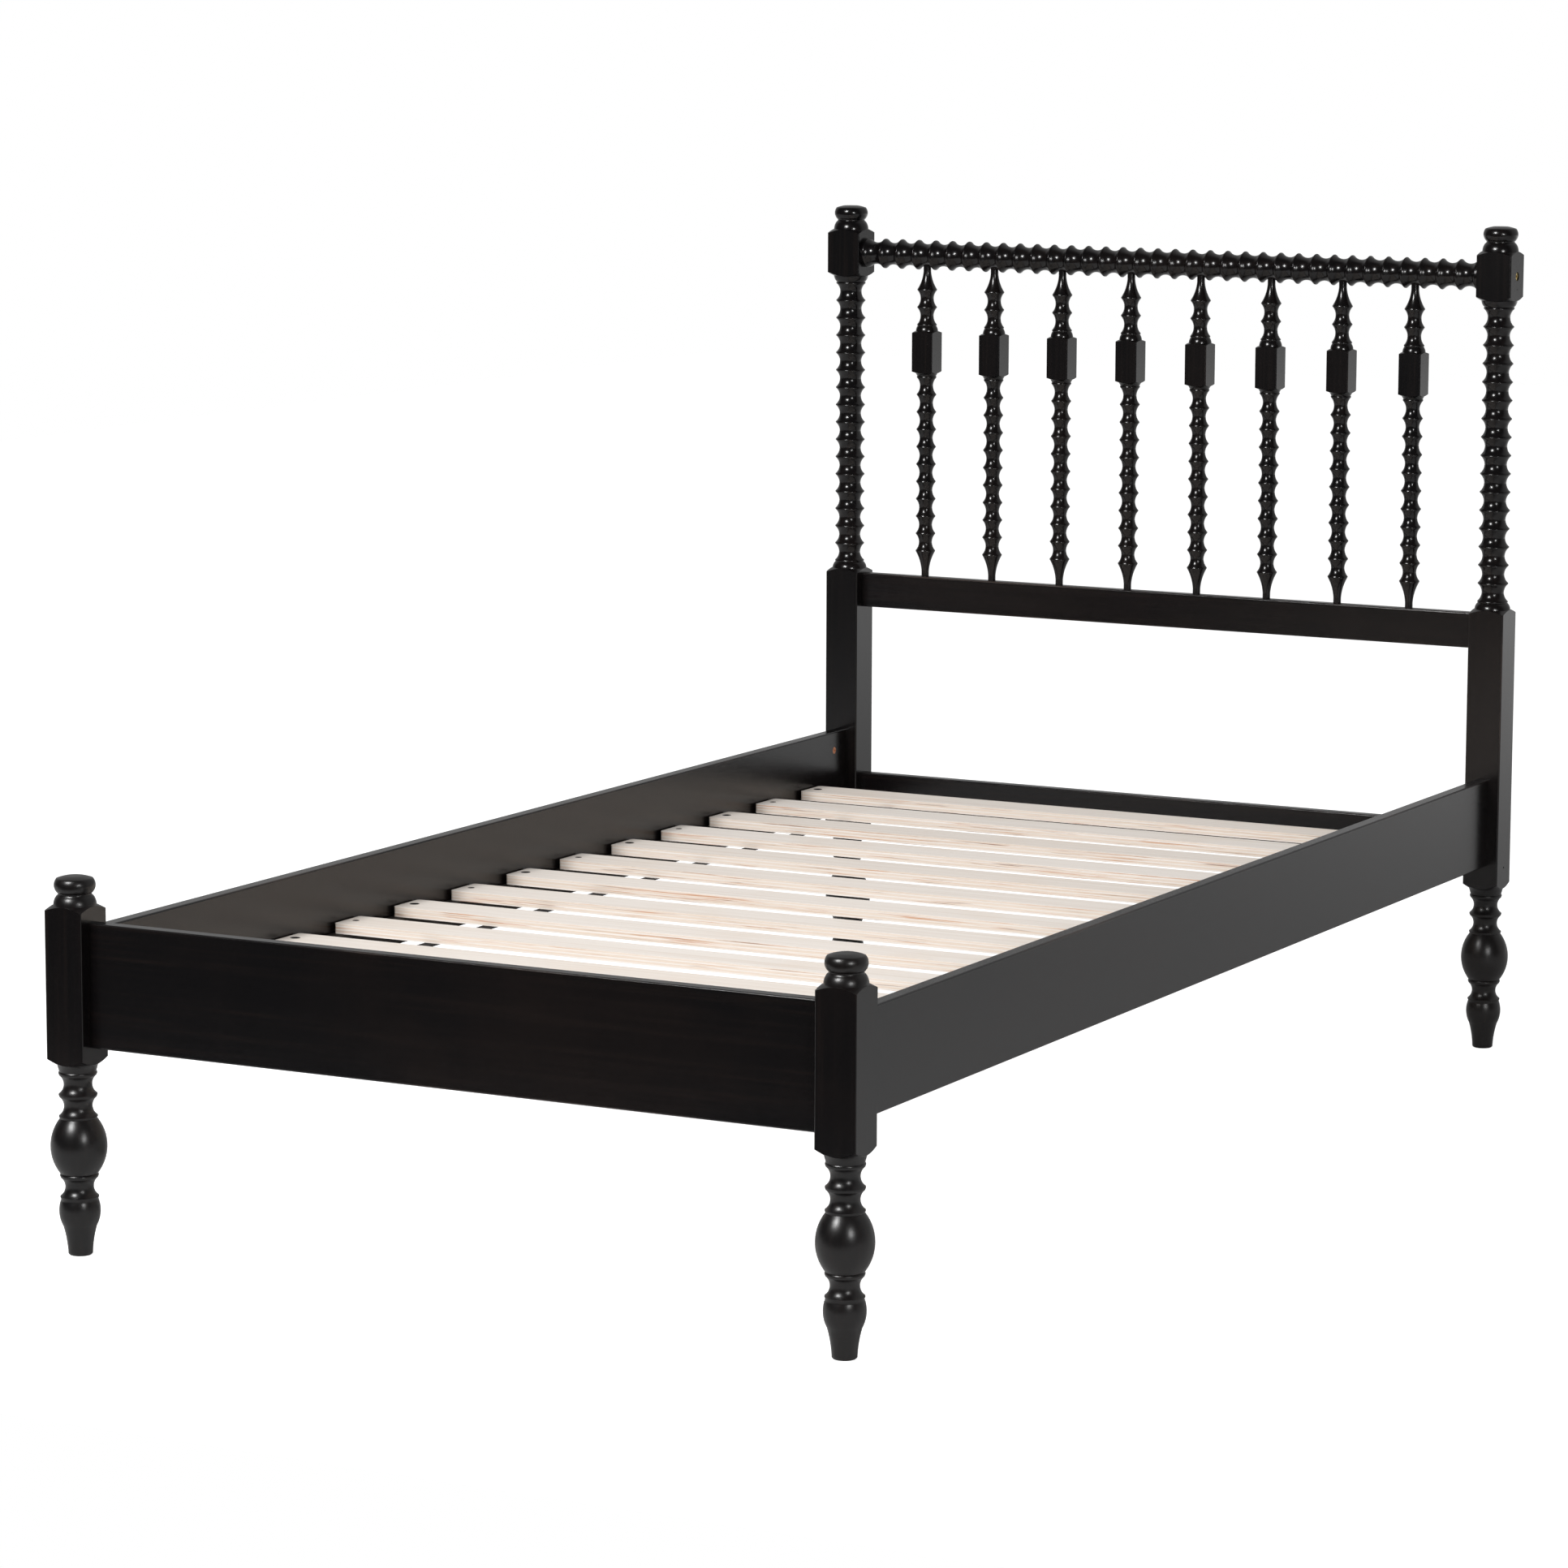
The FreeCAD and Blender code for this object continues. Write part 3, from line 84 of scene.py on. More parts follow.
# %% [markdown]
# ## Light
# A bed like this is photographed in a white room. The white floor beyond it draws a grey sheen on the
# faces that turn away from the camera. Two soft boxes in front leave twin highlights on every turned
# ring, a strong one from the left and a weak one from the right. The third lamp only lifts the tops of
# the pale slats, so gloss doesn't see it.

# %% Hang the soft boxes
LAMP_TARGET = (0, 0, 0.5)


def aim(thing, target):
    """Turn a lamp towards a point."""
    thing.rotation_euler = (Vector(target) - thing.location).to_track_quat("-Z", "Y").to_euler()


def soft_box(name, azimuth, elevation, distance, size, power, in_gloss=True):
    """A square lamp. Its azimuth is counted from the foot of the bed towards the right."""
    lamp = bpy.data.lights.new(name, "AREA")
    lamp.shape = "SQUARE"
    lamp.size = size
    lamp.energy = power
    box = bpy.data.objects.new(name, lamp)
    turn = math.radians(azimuth)
    rise = math.radians(elevation)
    outward = math.cos(rise)
    box.location = Vector((math.sin(turn) * outward, -math.cos(turn) * outward, math.sin(rise)))
    box.location *= distance
    aim(box, LAMP_TARGET)
    box.visible_glossy = in_gloss
    bpy.context.scene.collection.objects.link(box)


soft_box("box_left", azimuth=-15, elevation=39, distance=5.8, size=1.4, power=230)
soft_box("box_right", azimuth=48, elevation=19, distance=6.4, size=1.0, power=90)
soft_box("fill_above", azimuth=200, elevation=75, distance=5.0, size=3.0, power=20,
         in_gloss=False)
print("two soft boxes and a fill")

# %% [markdown]
# ## A bench for shader nodes
# A finish is a chain of small sums: how far along the grain, how deep a scratch, how worn an edge. They
# could be wired by hand in the editor. Written as Python sums they stay readable, so one small class
# wraps a socket and turns + - * / into Math nodes, and one method adds every other kind of node.

# %% Wrap a socket, so that sums on it make Math nodes
class Wire:
    """A value in a node tree that Python can calculate with."""

    def __init__(self, bench, socket):
        self.bench = bench
        self.socket = socket

    def math(self, operation, *values):
        return self.bench.node("ShaderNodeMath", {"operation": operation}, dict(enumerate(values)))

    def __add__(self, other):
        return self.math("ADD", self, other)

    def __sub__(self, other):
        return self.math("SUBTRACT", self, other)

    def __rsub__(self, other):
        return self.math("SUBTRACT", other, self)

    def __mul__(self, other):
        return self.math("MULTIPLY", self, other)

    def __truediv__(self, other):
        return self.math("DIVIDE", self, other)

    __radd__ = __add__
    __rmul__ = __mul__

    def floor(self):
        return self.math("FLOOR", self)

    def larger(self, other):
        return self.math("MAXIMUM", self, other)

    def ramp(self, low, high):
        """0 below low, 1 above high, and a smooth rise between them."""
        settings = {"interpolation_type": "SMOOTHSTEP"}
        inputs = {"Value": self, "From Min": low, "From Max": high}
        return self.bench.node("ShaderNodeMapRange", settings, inputs)


# %% Add any node in one way: type, settings, inputs
class Bench:
    """A node tree that nodes are added to."""

    def __init__(self, tree):
        self.tree = tree

    def join(self, value, socket):
        if isinstance(value, Wire):
            self.tree.links.new(value.socket, socket)
        else:
            socket.default_value = value

    def node(self, kind, settings=None, inputs=None, output=0):
        made = self.tree.nodes.new(kind)
        for name, value in (settings or {}).items():
            setattr(made, name, value)
        for name, value in (inputs or {}).items():
            self.join(value, made.inputs[name])
        return Wire(self, made.outputs[output])

    def mix(self, factor, first, second):
        """Blend two colours."""
        inputs = {0: factor, 6: first, 7: second}
        return self.node("ShaderNodeMix", {"data_type": "RGBA"}, inputs, 2)

    def stretch(self, vector, scale, turn=(0, 0, 0)):
        """The same place with each direction counted in its own unit."""
        return self.node("ShaderNodeMapping", None, {"Vector": vector, "Rotation": turn, "Scale": scale})

    def noise(self, vector, scale=1.0, detail=3.0, roughness=0.55):
        inputs = {"Vector": vector, "Scale": scale, "Detail": detail, "Roughness": roughness}
        return self.node("ShaderNodeTexNoise", None, inputs)

    def bump(self, height, distance, strength=1.0):
        inputs = {"Height": height, "Distance": distance, "Strength": strength}
        return self.node("ShaderNodeBump", None, inputs)

    def seen(self):
        """1 where the camera looks, straight or by way of gloss or glass."""
        rays = [self.node("ShaderNodeLightPath", output=f"Is {kind} Ray")
                for kind in ("Camera", "Glossy", "Transmission")]
        return rays[0].larger(rays[1]).larger(rays[2])


def linear(level):
    """One screen level, 0 to 255, as light."""
    part = level / 255
    return part / 12.92 if part <= 0.04045 else ((part + 0.055) / 1.055) ** 2.4


def shade(red, green, blue):
    """A colour by its screen levels, in the linear numbers that shaders want."""
    return (linear(red), linear(green), linear(blue), 1.0)


print("screen white is", shade(255, 255, 255))

# %% [markdown]
# ## The room
# The floor is plain white and keeps the bed's shadow. What the camera sees of it gets a little light of
# its own, so that it joins the white room without a line. Gloss sees the floor and the wall too, both
# dimmer, so the tops of the rails stay dark. The sheet ends just in front of the bed, and the room
# beyond is nearly black to gloss: that keeps near faces black. Towards the wall the floor grows
# brighter, and so do the reflections of it.

# %% Light the room and lay the floor
ROOM_FILL = 0.45
DARK_FRONT = 0.05
WALL_LEVEL = 0.4

world = bpy.data.worlds.new("room")
world.use_nodes = True
bpy.context.scene.world = world
room = Bench(world.node_tree)
direction = room.node("ShaderNodeTexCoord", output="Generated")
depth = room.node("ShaderNodeSeparateXYZ", None, {0: direction}, "Y")
wall = depth.ramp(-0.15, 0.45) * (WALL_LEVEL - DARK_FRONT) + DARK_FRONT
glossy = room.node("ShaderNodeLightPath", output="Is Glossy Ray")
straight = room.node("ShaderNodeLightPath", output="Is Camera Ray")
through = room.node("ShaderNodeLightPath", output="Is Transmission Ray")
plain = straight.larger(through)
level = plain + (1 - plain) * (glossy * wall + (1 - glossy) * ROOM_FILL)
backdrop = world.node_tree.nodes["Background"]
room.join((1, 1, 1, 1), backdrop.inputs["Color"])
room.join(level, backdrop.inputs["Strength"])

FLOOR_SIZE = 14.0
FLOOR_FRONT = -1.6
FLOOR_GLOW = 0.8
GLOSS_GLOW_FROM = 1.0
GLOSS_GLOW_TO = 7.0

floor_mesh = bpy.data.meshes.new("floor")
sheet = bmesh.new()
middle = Matrix.Translation((0, FLOOR_FRONT + FLOOR_SIZE / 2, 0))
bmesh.ops.create_grid(sheet, x_segments=1, y_segments=1, size=FLOOR_SIZE / 2, matrix=middle)
sheet.to_mesh(floor_mesh)
sheet.free()
floor = bpy.data.objects.new("floor", floor_mesh)
bpy.context.scene.collection.objects.link(floor)

paper = bpy.data.materials.new("floor")
paper.use_nodes = True
sweep = Bench(paper.node_tree)
spot = sweep.node("ShaderNodeTexCoord", output="Object")
grain = sweep.noise(spot, 9.0)
white = sweep.mix(grain, shade(194, 194, 194), shade(200, 200, 200))
surface = paper.node_tree.nodes["Principled BSDF"]
sweep.join(white, surface.inputs["Base Color"])
sweep.join(0.9, surface.inputs["Roughness"])
sweep.join(0.0, surface.inputs["Specular IOR Level"])
beyond = sweep.node("ShaderNodeSeparateXYZ", None, {0: spot}, "Y")
far = beyond.ramp(GLOSS_GLOW_FROM, GLOSS_GLOW_TO)
mirrored = sweep.node("ShaderNodeLightPath", output="Is Glossy Ray")
strength = FLOOR_GLOW * (1 - mirrored * (1 - far))
glow = sweep.node("ShaderNodeEmission", None, {"Strength": strength})
lit = Wire(sweep, surface.outputs[0])
both = sweep.node("ShaderNodeAddShader", None, {0: lit, 1: glow})
shown = sweep.node("ShaderNodeMixShader", None, {0: sweep.seen(), 1: lit, 2: both})
sweep.join(shown, paper.node_tree.nodes["Material Output"].inputs["Surface"])
floor_mesh.materials.append(paper)
print("floor", FLOOR_SIZE, "m")

# %% [markdown]
# ## Finishes
# Every finish reads the place on the bed in metres, so a grain line runs on from a post into its turned
# leg. Wood is stretched noise: fine across the grain, long along it.

# %% A finish is a material and its shader on one bench
class Finish(Bench):
    """A material under its own name. Constant values go straight to the shader."""

    def __init__(self, name, **constants):
        self.material = bpy.data.materials.new(name)
        self.material.use_nodes = True
        super().__init__(self.material.node_tree)
        self.shader = self.tree.nodes["Principled BSDF"]
        for socket, value in constants.items():
            self.feed(socket.replace("_", " "), value)

    def feed(self, socket, value):
        self.join(value, self.shader.inputs[socket])

    def place(self):
        return self.node("ShaderNodeTexCoord", output="Object")

    def part(self, vector, axis):
        return self.node("ShaderNodeSeparateXYZ", None, {0: vector}, axis)


# %% [markdown]
# ### Black paint
# The wood is sprayed black, thin enough that its grain still shows as faint lines and a brown cast. The
# arrises are rubbed a little and carry a painted highlight, a lighter tone on their rounded faces. The
# headboard's turned parts have been polished on the lathe and shine most, the flat boards a little less,
# and the legs are softer. One recipe takes the direction of the grain, the roughness and the polish.

# %% Mix the black paint
POLISH_FROM = 0.45
POLISH_TO = 0.65


def black_paint(name, along, rough, relief, polish=0.0):
    """Black paint over wood whose grain runs along one axis. Polish is added above the side rails."""
    finish = Finish(name, Specular_IOR_Level=0.5)
    fine = [4.0 if axis == along else 220.0 for axis in "XYZ"]
    pores = [60.0 if axis == along else 2400.0 for axis in "XYZ"]
    place = finish.place()
    line = finish.noise(finish.stretch(place, fine), 1.0, 5.0, 0.6)
    pore = finish.noise(finish.stretch(place, pores), 1.0, 2.0, 0.5)
    cloud = finish.noise(place, 3.5, 4.0, 0.6)
    streak = line.ramp(0.45, 0.75)
    dark = finish.mix(cloud.ramp(0.35, 0.7), shade(8, 7, 8), shade(16, 11, 10))
    colour = finish.mix(streak * 0.35, dark, shade(29, 21, 18))
    # Arris faces get rubbed paint and a painted highlight: a lighter tone on the rounded edges.
    arris = finish.node("ShaderNodeAttribute", {"attribute_name": "arris"}, output="Fac")
    rub_and_edge_highlight = arris * cloud.ramp(0.45, 0.7) * 0.6
    finish.feed("Base Color", finish.mix(rub_and_edge_highlight, colour, shade(62, 52, 47)))
    above = finish.part(place, "Z").ramp(POLISH_FROM, POLISH_TO)
    finish.feed("Roughness", rough + 0.10 * cloud + 0.06 * line - polish * above)
    height = line * 0.6 + pore.ramp(0.35, 0.5) * 0.4
    finish.feed("Normal", finish.bump(height, 0.00012, relief))
    return finish.material


paint = {
    "flat_x": black_paint("paint_flat_across", "X", rough=0.15, relief=0.25),
    "flat_y": black_paint("paint_flat_along", "Y", rough=0.14, relief=0.25),
    "flat_z": black_paint("paint_flat_upright", "Z", rough=0.15, relief=0.25),
    "turned_z": black_paint("paint_turned_upright", "Z", rough=0.23, relief=0.12, polish=0.11),
    "turned_x": black_paint("paint_turned_across", "X", rough=0.13, relief=0.12),
}
print("paint:", ", ".join(paint))

# %% [markdown]
# ### Slats of layered wood
# The slats are sawn from a sheet of thin veneers glued crosswise. The top shows one pale veneer, the
# sawn edges show all of them as lines, with brown streaks where a veneer has heartwood. So the colour
# asks how high a point lies in the sheet, and every slat takes its own tone from its number. Round each
# screw the slat top is coloured dark in a ring, wide and close by turns.

# %% Mix the layered wood
SLAT_LOW, SLAT_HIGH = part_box("slat_01")
SLAT_MIDDLE = (SLAT_LOW.y + SLAT_HIGH.y) / 2
SLAT_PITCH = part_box("slat_02")[0].y - SLAT_LOW.y
VENEERS = 6
SCREW_REACH = 0.4865
SCREW_WIDE = 0.0062
SCREW_CLOSE = 0.0044
SCREW_BLUR = 0.0003
BEFORE_SLAT = 0.03
FACE_SKIN = 0.02


def layered_wood():
    finish = Finish("slat_wood", Specular_IOR_Level=0.25)
    place = finish.place()
    thickness = SLAT_HIGH.z - SLAT_LOW.z
    height = (finish.part(place, "Z") - SLAT_LOW.z) * (VENEERS / thickness)
    inside = height.math("MINIMUM", height, VENEERS - FACE_SKIN).larger(FACE_SKIN)
    veneer = inside.floor()
    crosswise = veneer.math("MODULO", veneer, 2.0)
    edge = inside.math("PINGPONG", inside, 0.5)
    glue = 1 - edge.ramp(0.02, 0.16)
    skin = inside.ramp(VENEERS - 0.5, VENEERS - 0.1)
    number = ((finish.part(place, "Y") - (SLAT_LOW.y - BEFORE_SLAT)) / SLAT_PITCH).floor()
    own = number + veneer * 0.37
    tone = finish.node("ShaderNodeTexWhiteNoise", {"noise_dimensions": "1D"}, {"W": own})
    aside = number * 1.7 + veneer * 0.31
    shift = finish.node("ShaderNodeCombineXYZ", None, {"X": aside, "Y": 0.0, "Z": 0.0})
    moved = finish.node("ShaderNodeVectorMath", {"operation": "ADD"}, {0: place, 1: shift})
    line = finish.noise(finish.stretch(moved, (2.0, 150.0, 150.0)), 1.0, 5.0, 0.62)
    fleck = finish.noise(finish.stretch(moved, (40.0, 900.0, 900.0)), 1.0, 2.0, 0.5)
    heart = finish.noise(finish.stretch(moved, (7.0, 20.0, 500.0)), 1.0, 4.0, 0.6)
    cloud = finish.noise(moved, 6.0, 3.0, 0.5)
    pale = finish.mix(tone, shade(233, 224, 215), shade(240, 233, 226))
    grained = finish.mix(line.ramp(0.42, 0.72) * 0.4, pale, shade(212, 196, 180))
    warm = finish.mix(cloud.ramp(0.5, 0.75) * 0.3, grained, shade(226, 206, 186))
    sawn = finish.mix(crosswise * (1 - skin) * 0.3, warm, shade(222, 190, 156))
    brown = heart.ramp(0.55, 0.68) * (1 - skin) * 0.8
    knotty = finish.mix(cloud.ramp(0.45, 0.6), shade(198, 136, 92), shade(132, 84, 54))
    streaked = finish.mix(brown, sawn, knotty)
    glued = finish.mix(glue * (1 - skin) * 0.2, streaked, shade(190, 146, 108))
    wood = finish.mix(fleck.ramp(0.62, 0.75) * 0.15, glued, shade(176, 148, 122))
    side = finish.part(place, "X")
    across = side.math("ABSOLUTE", side) - SCREW_REACH
    along = finish.part(place, "Y") - SLAT_MIDDLE - number * SLAT_PITCH
    squares = across * across + along * along
    ring = squares.math("SQRT", squares)
    sunk = number.math("MODULO", number, 2.0) * (SCREW_CLOSE - SCREW_WIDE) + SCREW_WIDE
    # A dark ring is painted round each screw, wide and close by turns.
    dark_rim = 1 - (ring - sunk).ramp(0.0, SCREW_BLUR)
    finish.feed("Base Color", finish.mix(dark_rim, wood, shade(14, 10, 9)))
    finish.feed("Roughness", 0.55 + 0.15 * line)
    finish.feed("Normal", finish.bump(line * 0.7 + fleck * 0.3, 0.00025, 0.7))
    return finish.material


slat_wood = layered_wood()
print(VENEERS, "veneers, slats", round(SLAT_PITCH * 1000, 1), "mm apart")

# %% [markdown]
# ### Pine, beech and webbing
# The ledgers under the slats are pine in a tone as dark as the rails, and the dowels are beech with short
# flecks. The webbing is black tape, woven over and under, which two crossed waves draw.

# %% Mix the pine, the beech and the webbing
def pine():
    finish = Finish("ledger_wood", Specular_IOR_Level=0.3)
    place = finish.place()
    bend = finish.noise(finish.stretch(place, (9.0, 1.6, 9.0)), 1.0, 2.0, 0.5)
    rings = finish.node("ShaderNodeTexWave", {"wave_type": "BANDS", "bands_direction": "Z"}, {
        "Vector": place, "Scale": 60.0, "Distortion": 3.0, "Detail": 2.0, "Phase Offset": bend * 9.0})
    fibre = finish.noise(finish.stretch(place, (700.0, 12.0, 700.0)), 1.0, 3.0, 0.5)
    colour = finish.mix(rings.ramp(0.35, 0.95) * 0.7, shade(32, 25, 21), shade(20, 15, 13))
    finish.feed("Base Color", finish.mix(fibre.ramp(0.4, 0.8) * 0.35, colour, shade(50, 38, 30)))
    finish.feed("Roughness", 0.55 + 0.2 * fibre)
    finish.feed("Normal", finish.bump(fibre + rings * 0.4, 0.0002, 0.6))
    return finish.material


def beech():
    finish = Finish("dowel_wood", Specular_IOR_Level=0.3)
    place = finish.place()
    fleck = finish.noise(finish.stretch(place, (600.0, 90.0, 600.0)), 1.0, 2.0, 0.5)
    fibre = finish.noise(finish.stretch(place, (300.0, 10.0, 300.0)), 1.0, 3.0, 0.5)
    colour = finish.mix(fibre, shade(214, 176, 132), shade(196, 152, 108))
    finish.feed("Base Color", finish.mix(fleck.ramp(0.55, 0.7) * 0.5, colour, shade(150, 104, 66)))
    finish.feed("Roughness", 0.5 + 0.2 * fleck)
    finish.feed("Normal", finish.bump(fibre, 0.0001, 0.5))
    return finish.material


def woven_tape():
    finish = Finish("webbing", Specular_IOR_Level=0.3)
    place = finish.place()
    threads = 2200.0
    warp = finish.part(place, "X") * threads
    weft = finish.part(place, "Y") * threads
    over = warp.math("SINE", warp) * warp.math("SINE", weft)
    thread = over.math("ABSOLUTE", over)
    fluff = finish.noise(place, 1500.0, 2.0, 0.6)
    colour = finish.mix(thread.ramp(0.0, 0.8), shade(14, 14, 15), shade(38, 37, 39))
    finish.feed("Base Color", finish.mix(fluff.ramp(0.5, 0.8) * 0.4, colour, shade(60, 58, 60)))
    finish.feed("Roughness", 0.75 + 0.15 * fluff)
    finish.feed("Normal", finish.bump(thread + fluff * 0.3, 0.0003, 0.8))
    return finish.material


woods = {"pine": pine(), "beech": beech()}
webbing = woven_tape()
print("woods:", ", ".join(woods))

# %% [markdown]
# ### Metals
# Screws, staples, bolts and barrels are small, but close up they show how they were made: turned heads
# carry fine scratches, plated ones a cloudy film. One recipe takes the two tones and the roughness.

# %% Mix the metals
def metal(name, clean, worn, rough, scratches):
    finish = Finish(name, Metallic=1.0)
    place = finish.place()
    film = finish.noise(place, 260.0, 4.0, 0.6)
    brushed = finish.stretch(place, (3200.0, 180.0, 1400.0), turn=(0.5, 0.3, 0.8))
    scratch = finish.noise(brushed, 1.0, 3.0, 0.7)
    finish.feed("Base Color", finish.mix(film.ramp(0.45, 0.75) * 0.6, clean, worn))
    finish.feed("Roughness", rough + 0.18 * film)
    finish.feed("Normal", finish.bump(scratch, 0.00006, scratches))
    return finish.material


metals = {
    "brass": metal("brass", shade(238, 216, 150), shade(190, 160, 92), 0.22, 0.5),
    "copper": metal("copper", shade(214, 148, 112), shade(140, 84, 58), 0.25, 0.5),
    "zinc": metal("zinc", shade(196, 200, 204), shade(150, 154, 160), 0.3, 0.6),
    "black_steel": metal("black_steel", shade(38, 32, 30), shade(64, 50, 42), 0.5, 0.7),
    "wire": metal("staple_wire", shade(190, 192, 194), shade(140, 138, 134), 0.3, 0.4),
}
print("metals:", ", ".join(metals))

# %% [markdown]
# ## Dress the frame's own pieces
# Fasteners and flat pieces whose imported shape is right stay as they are, and only take a finish.

# %% Give each piece of the frame its finish
def dress(material, *names):
    """Put a finish in the material slots of frame pieces."""
    for name in names:
        for held in nodes[name].material_slots:
            held.material = material


slats = sorted(name for name in nodes if name.startswith("slat_") and name[5:].isdigit())
spindles = sorted(name for name in nodes if name.startswith("spindle_"))
posts = [name for name in nodes if "_post_" in name]
dress(slat_wood, *slats)
dress(woods["pine"], "slat_ledger_left", "slat_ledger_right")
dress(woods["beech"], "rail_dowels")
dress(webbing, "webbing_strap_left", "webbing_strap_right")
dress(metals["brass"], "top_rail_bolts")
dress(metals["copper"], "rail_cam_nuts")
dress(metals["zinc"], "rail_cam_bolts")
dress(metals["black_steel"], "slat_screws", "ledger_screws")
dress(metals["wire"], "strap_staples")
print(len(slats), "slats,", len(spindles), "spindles,", len(posts), "posts")

# %% [markdown]
# ## Turned pieces
# On a lathe the blank spins while a tool follows one line. The spin operator does the same with a line
# of points, so a turned piece is a profile and nothing more. A stack of cylinders could give the
# main forms, but not the soft run of a hollow into a ring. Heights are in millimetres from the floor.

# %% Follow a profile with straight and round cuts
def round_cut(start, via, end, steps):
    """Points from start to end on the circle through three points. A complex number is one point."""
    first, middle, last = complex(*start), complex(*via), complex(*end)
    ratio = (last - first) / (middle - first)
    centre = first + (middle - first) * (ratio - abs(ratio) ** 2) / (2j * ratio.imag)
    turn = cmath.phase((middle - centre) / (first - centre))
    turn += cmath.phase((last - centre) / (middle - centre))
    spokes = [cmath.exp(1j * turn * step / steps) for step in range(1, steps + 1)]
    spots = [centre + (first - centre) * spoke for spoke in spokes]
    return [(spot.real, spot.imag) for spot in spots]


class Profile:
    """The line a turning tool follows, as (radius, height) points from the bottom up."""

    def __init__(self, radius, height):
        self.points = [(radius, height)]

    def to(self, radius, height):
        """A straight cut."""
        self.points.append((radius, height))
        return self

    def through(self, via, end, steps=8):
        """A round cut that passes through via."""
        self.points += round_cut(self.points[-1], via, end, steps)
        return self

    def swell(self, radius, height, bulge, steps=6):
        """A round cut that stands out from the straight one by bulge. A hollow has a negative bulge."""
        last_radius, last_height = self.points[-1]
        via = ((last_radius + radius) / 2 + bulge, (last_height + height) / 2)
        return self.through(via, (radius, height), steps)

    def coves(self, count, pitch, ridge, valley, flat=0.9):
        """A row of equal hollows with a narrow flat on each ridge between them."""
        start = self.points[-1][1] - flat
        for index in range(count):
            low = start + index * pitch + flat
            high = low + pitch - flat
            self.through((valley, (low + high) / 2), (ridge, high))
            self.to(ridge, high + flat)
        return self


quarter = round_cut((2, 0), (1.414, 1.414), (0, 2), 4)
print("a quarter turn in four cuts:", [round(radius, 2) for radius, _ in quarter])

# %% [markdown]
# ### The posts
# All four legs are one pattern: a vase, a ring and a hollow, a large bulb, two more rings and a bell that
# meets the square. Above its square a foot post ends in a button. A head post goes on with a ribbed shaft
# and a second square before the same button.

# %% Draw the leg, the button and the shaft
POST_HALF = 26.0
POST_CORNER = POST_HALF * math.sqrt(2)
WASTE = POST_CORNER + 3.0
RING = 22.8
LIP = 22.0
LEG_HOLLOW = 16.8
BULB = 33.4
QUIRK = 21.8
SHOULDER = 25.4
SHAFT_COVES = 16
SHAFT_PITCH = 25.83
SHAFT_RIDGE = 21.7
SHAFT_SHOULDER = 20.9
COVE_VALLEY = 15.8
BELL_END = 230.7
LEG_TOP = 238.8


def ring_and_hollow(profile, bottom):
    """A ring, the hollow above it and the slope up to the next ring."""
    profile.to(RING, bottom).to(RING, bottom + 1.2)
    profile.through((LEG_HOLLOW, bottom + 13.2), (LIP, bottom + 24.0), 20).to(RING, bottom + 26.2)


def draw_leg():
    profile = Profile(0, 0).to(12.9, 0).to(14.4, 1.5)
    profile.swell(19.8, 35.0, -1.0, 8).swell(QUIRK, 67.9, 3.6, 12)
    ring_and_hollow(profile, 69.9)
    profile.to(RING, 97.3).to(QUIRK, 98.3)
    profile.through((BULB, 131.8), (QUIRK, 165.3), 24)
    ring_and_hollow(profile, 167.3)
    ring_and_hollow(profile, 193.5)
    return profile.to(RING, 220.9).to(QUIRK, 222.1).to(24.2, BELL_END)


def draw_square(profile, bottom, top):
    """Leave the blank thick enough for a square between two shoulders."""
    profile.to(POST_CORNER, bottom).to(WASTE, bottom)
    profile.to(WASTE, top).to(POST_CORNER, top)


def draw_button(profile, start):
    profile.to(SHOULDER, start + 6.0).swell(21.9, start + 16.6, 0.9)
    profile.to(19.9, start + 18.3).to(19.9, start + 20.0)
    profile.through((24.4, start + 28.8), (21.6, start + 37.6), 14)
    profile.swell(11.0, start + 40.5, 0.9).to(0, start + 40.5)


def draw_shaft(profile, start, end):
    profile.to(SHOULDER, start + 6.0).swell(SHAFT_SHOULDER, start + 15.05, 1.1)
    profile.to(SHAFT_RIDGE, start + 16.25).to(SHAFT_RIDGE, start + 17.15)
    profile.coves(SHAFT_COVES, SHAFT_PITCH, SHAFT_RIDGE, COVE_VALLEY)
    profile.to(SHAFT_SHOULDER, end - 15.05).swell(SHOULDER, end - 6.0, 1.1)


FOOT_TOP = 415.6
HEAD_TOP = 624.4
CROWN_BOTTOM = 1071.08
CROWN_TOP = 1128.08

foot_profile = draw_leg()
draw_square(foot_profile, LEG_TOP, FOOT_TOP)
draw_button(foot_profile, FOOT_TOP)

head_profile = draw_leg()
draw_square(head_profile, LEG_TOP, HEAD_TOP)
draw_shaft(head_profile, HEAD_TOP, CROWN_BOTTOM)
draw_square(head_profile, CROWN_BOTTOM, CROWN_TOP)
draw_button(head_profile, CROWN_TOP)
print("foot post", len(foot_profile.points), "points, head post", len(head_profile.points))

# %% [markdown]
# ### From profile to piece
# The profile spins into a round blank. Where a square is wanted the blank is left thick, and a plane
# takes off four flats and rounds the arrises between them in three strokes. This is how the maker
# works too, only in the other order. Faces that the plane leaves take the flat paint, and those near an
# arris carry the mark "arris" for rubbed paint with a painted highlight.

# %% Spin the blank and plane its flats
TURNED_FACE = 0
PLANED_FACE = 1
ARRIS_STROKES = (22.5, 45.0, 67.5)
POST_SIDES = 96
POST_ROUNDING = 2.0


def spin_blank(profile, sides):
    """Turn a profile round the upright axis."""
    work = bmesh.new()
    work.loops.layers.float.new("arris")
    corners = [work.verts.new((radius * MM, 0, height * MM)) for radius, height in profile.points]
    edges = [work.edges.new(pair) for pair in zip(corners, corners[1:])]
    bmesh.ops.spin(work, geom=corners + edges, axis=(0, 0, 1), cent=(0, 0, 0), angle=math.tau,
                   steps=sides, use_merge=True)
    bmesh.ops.remove_doubles(work, verts=work.verts, dist=1e-6)
    for face in work.faces:
        face.smooth = True
    return work


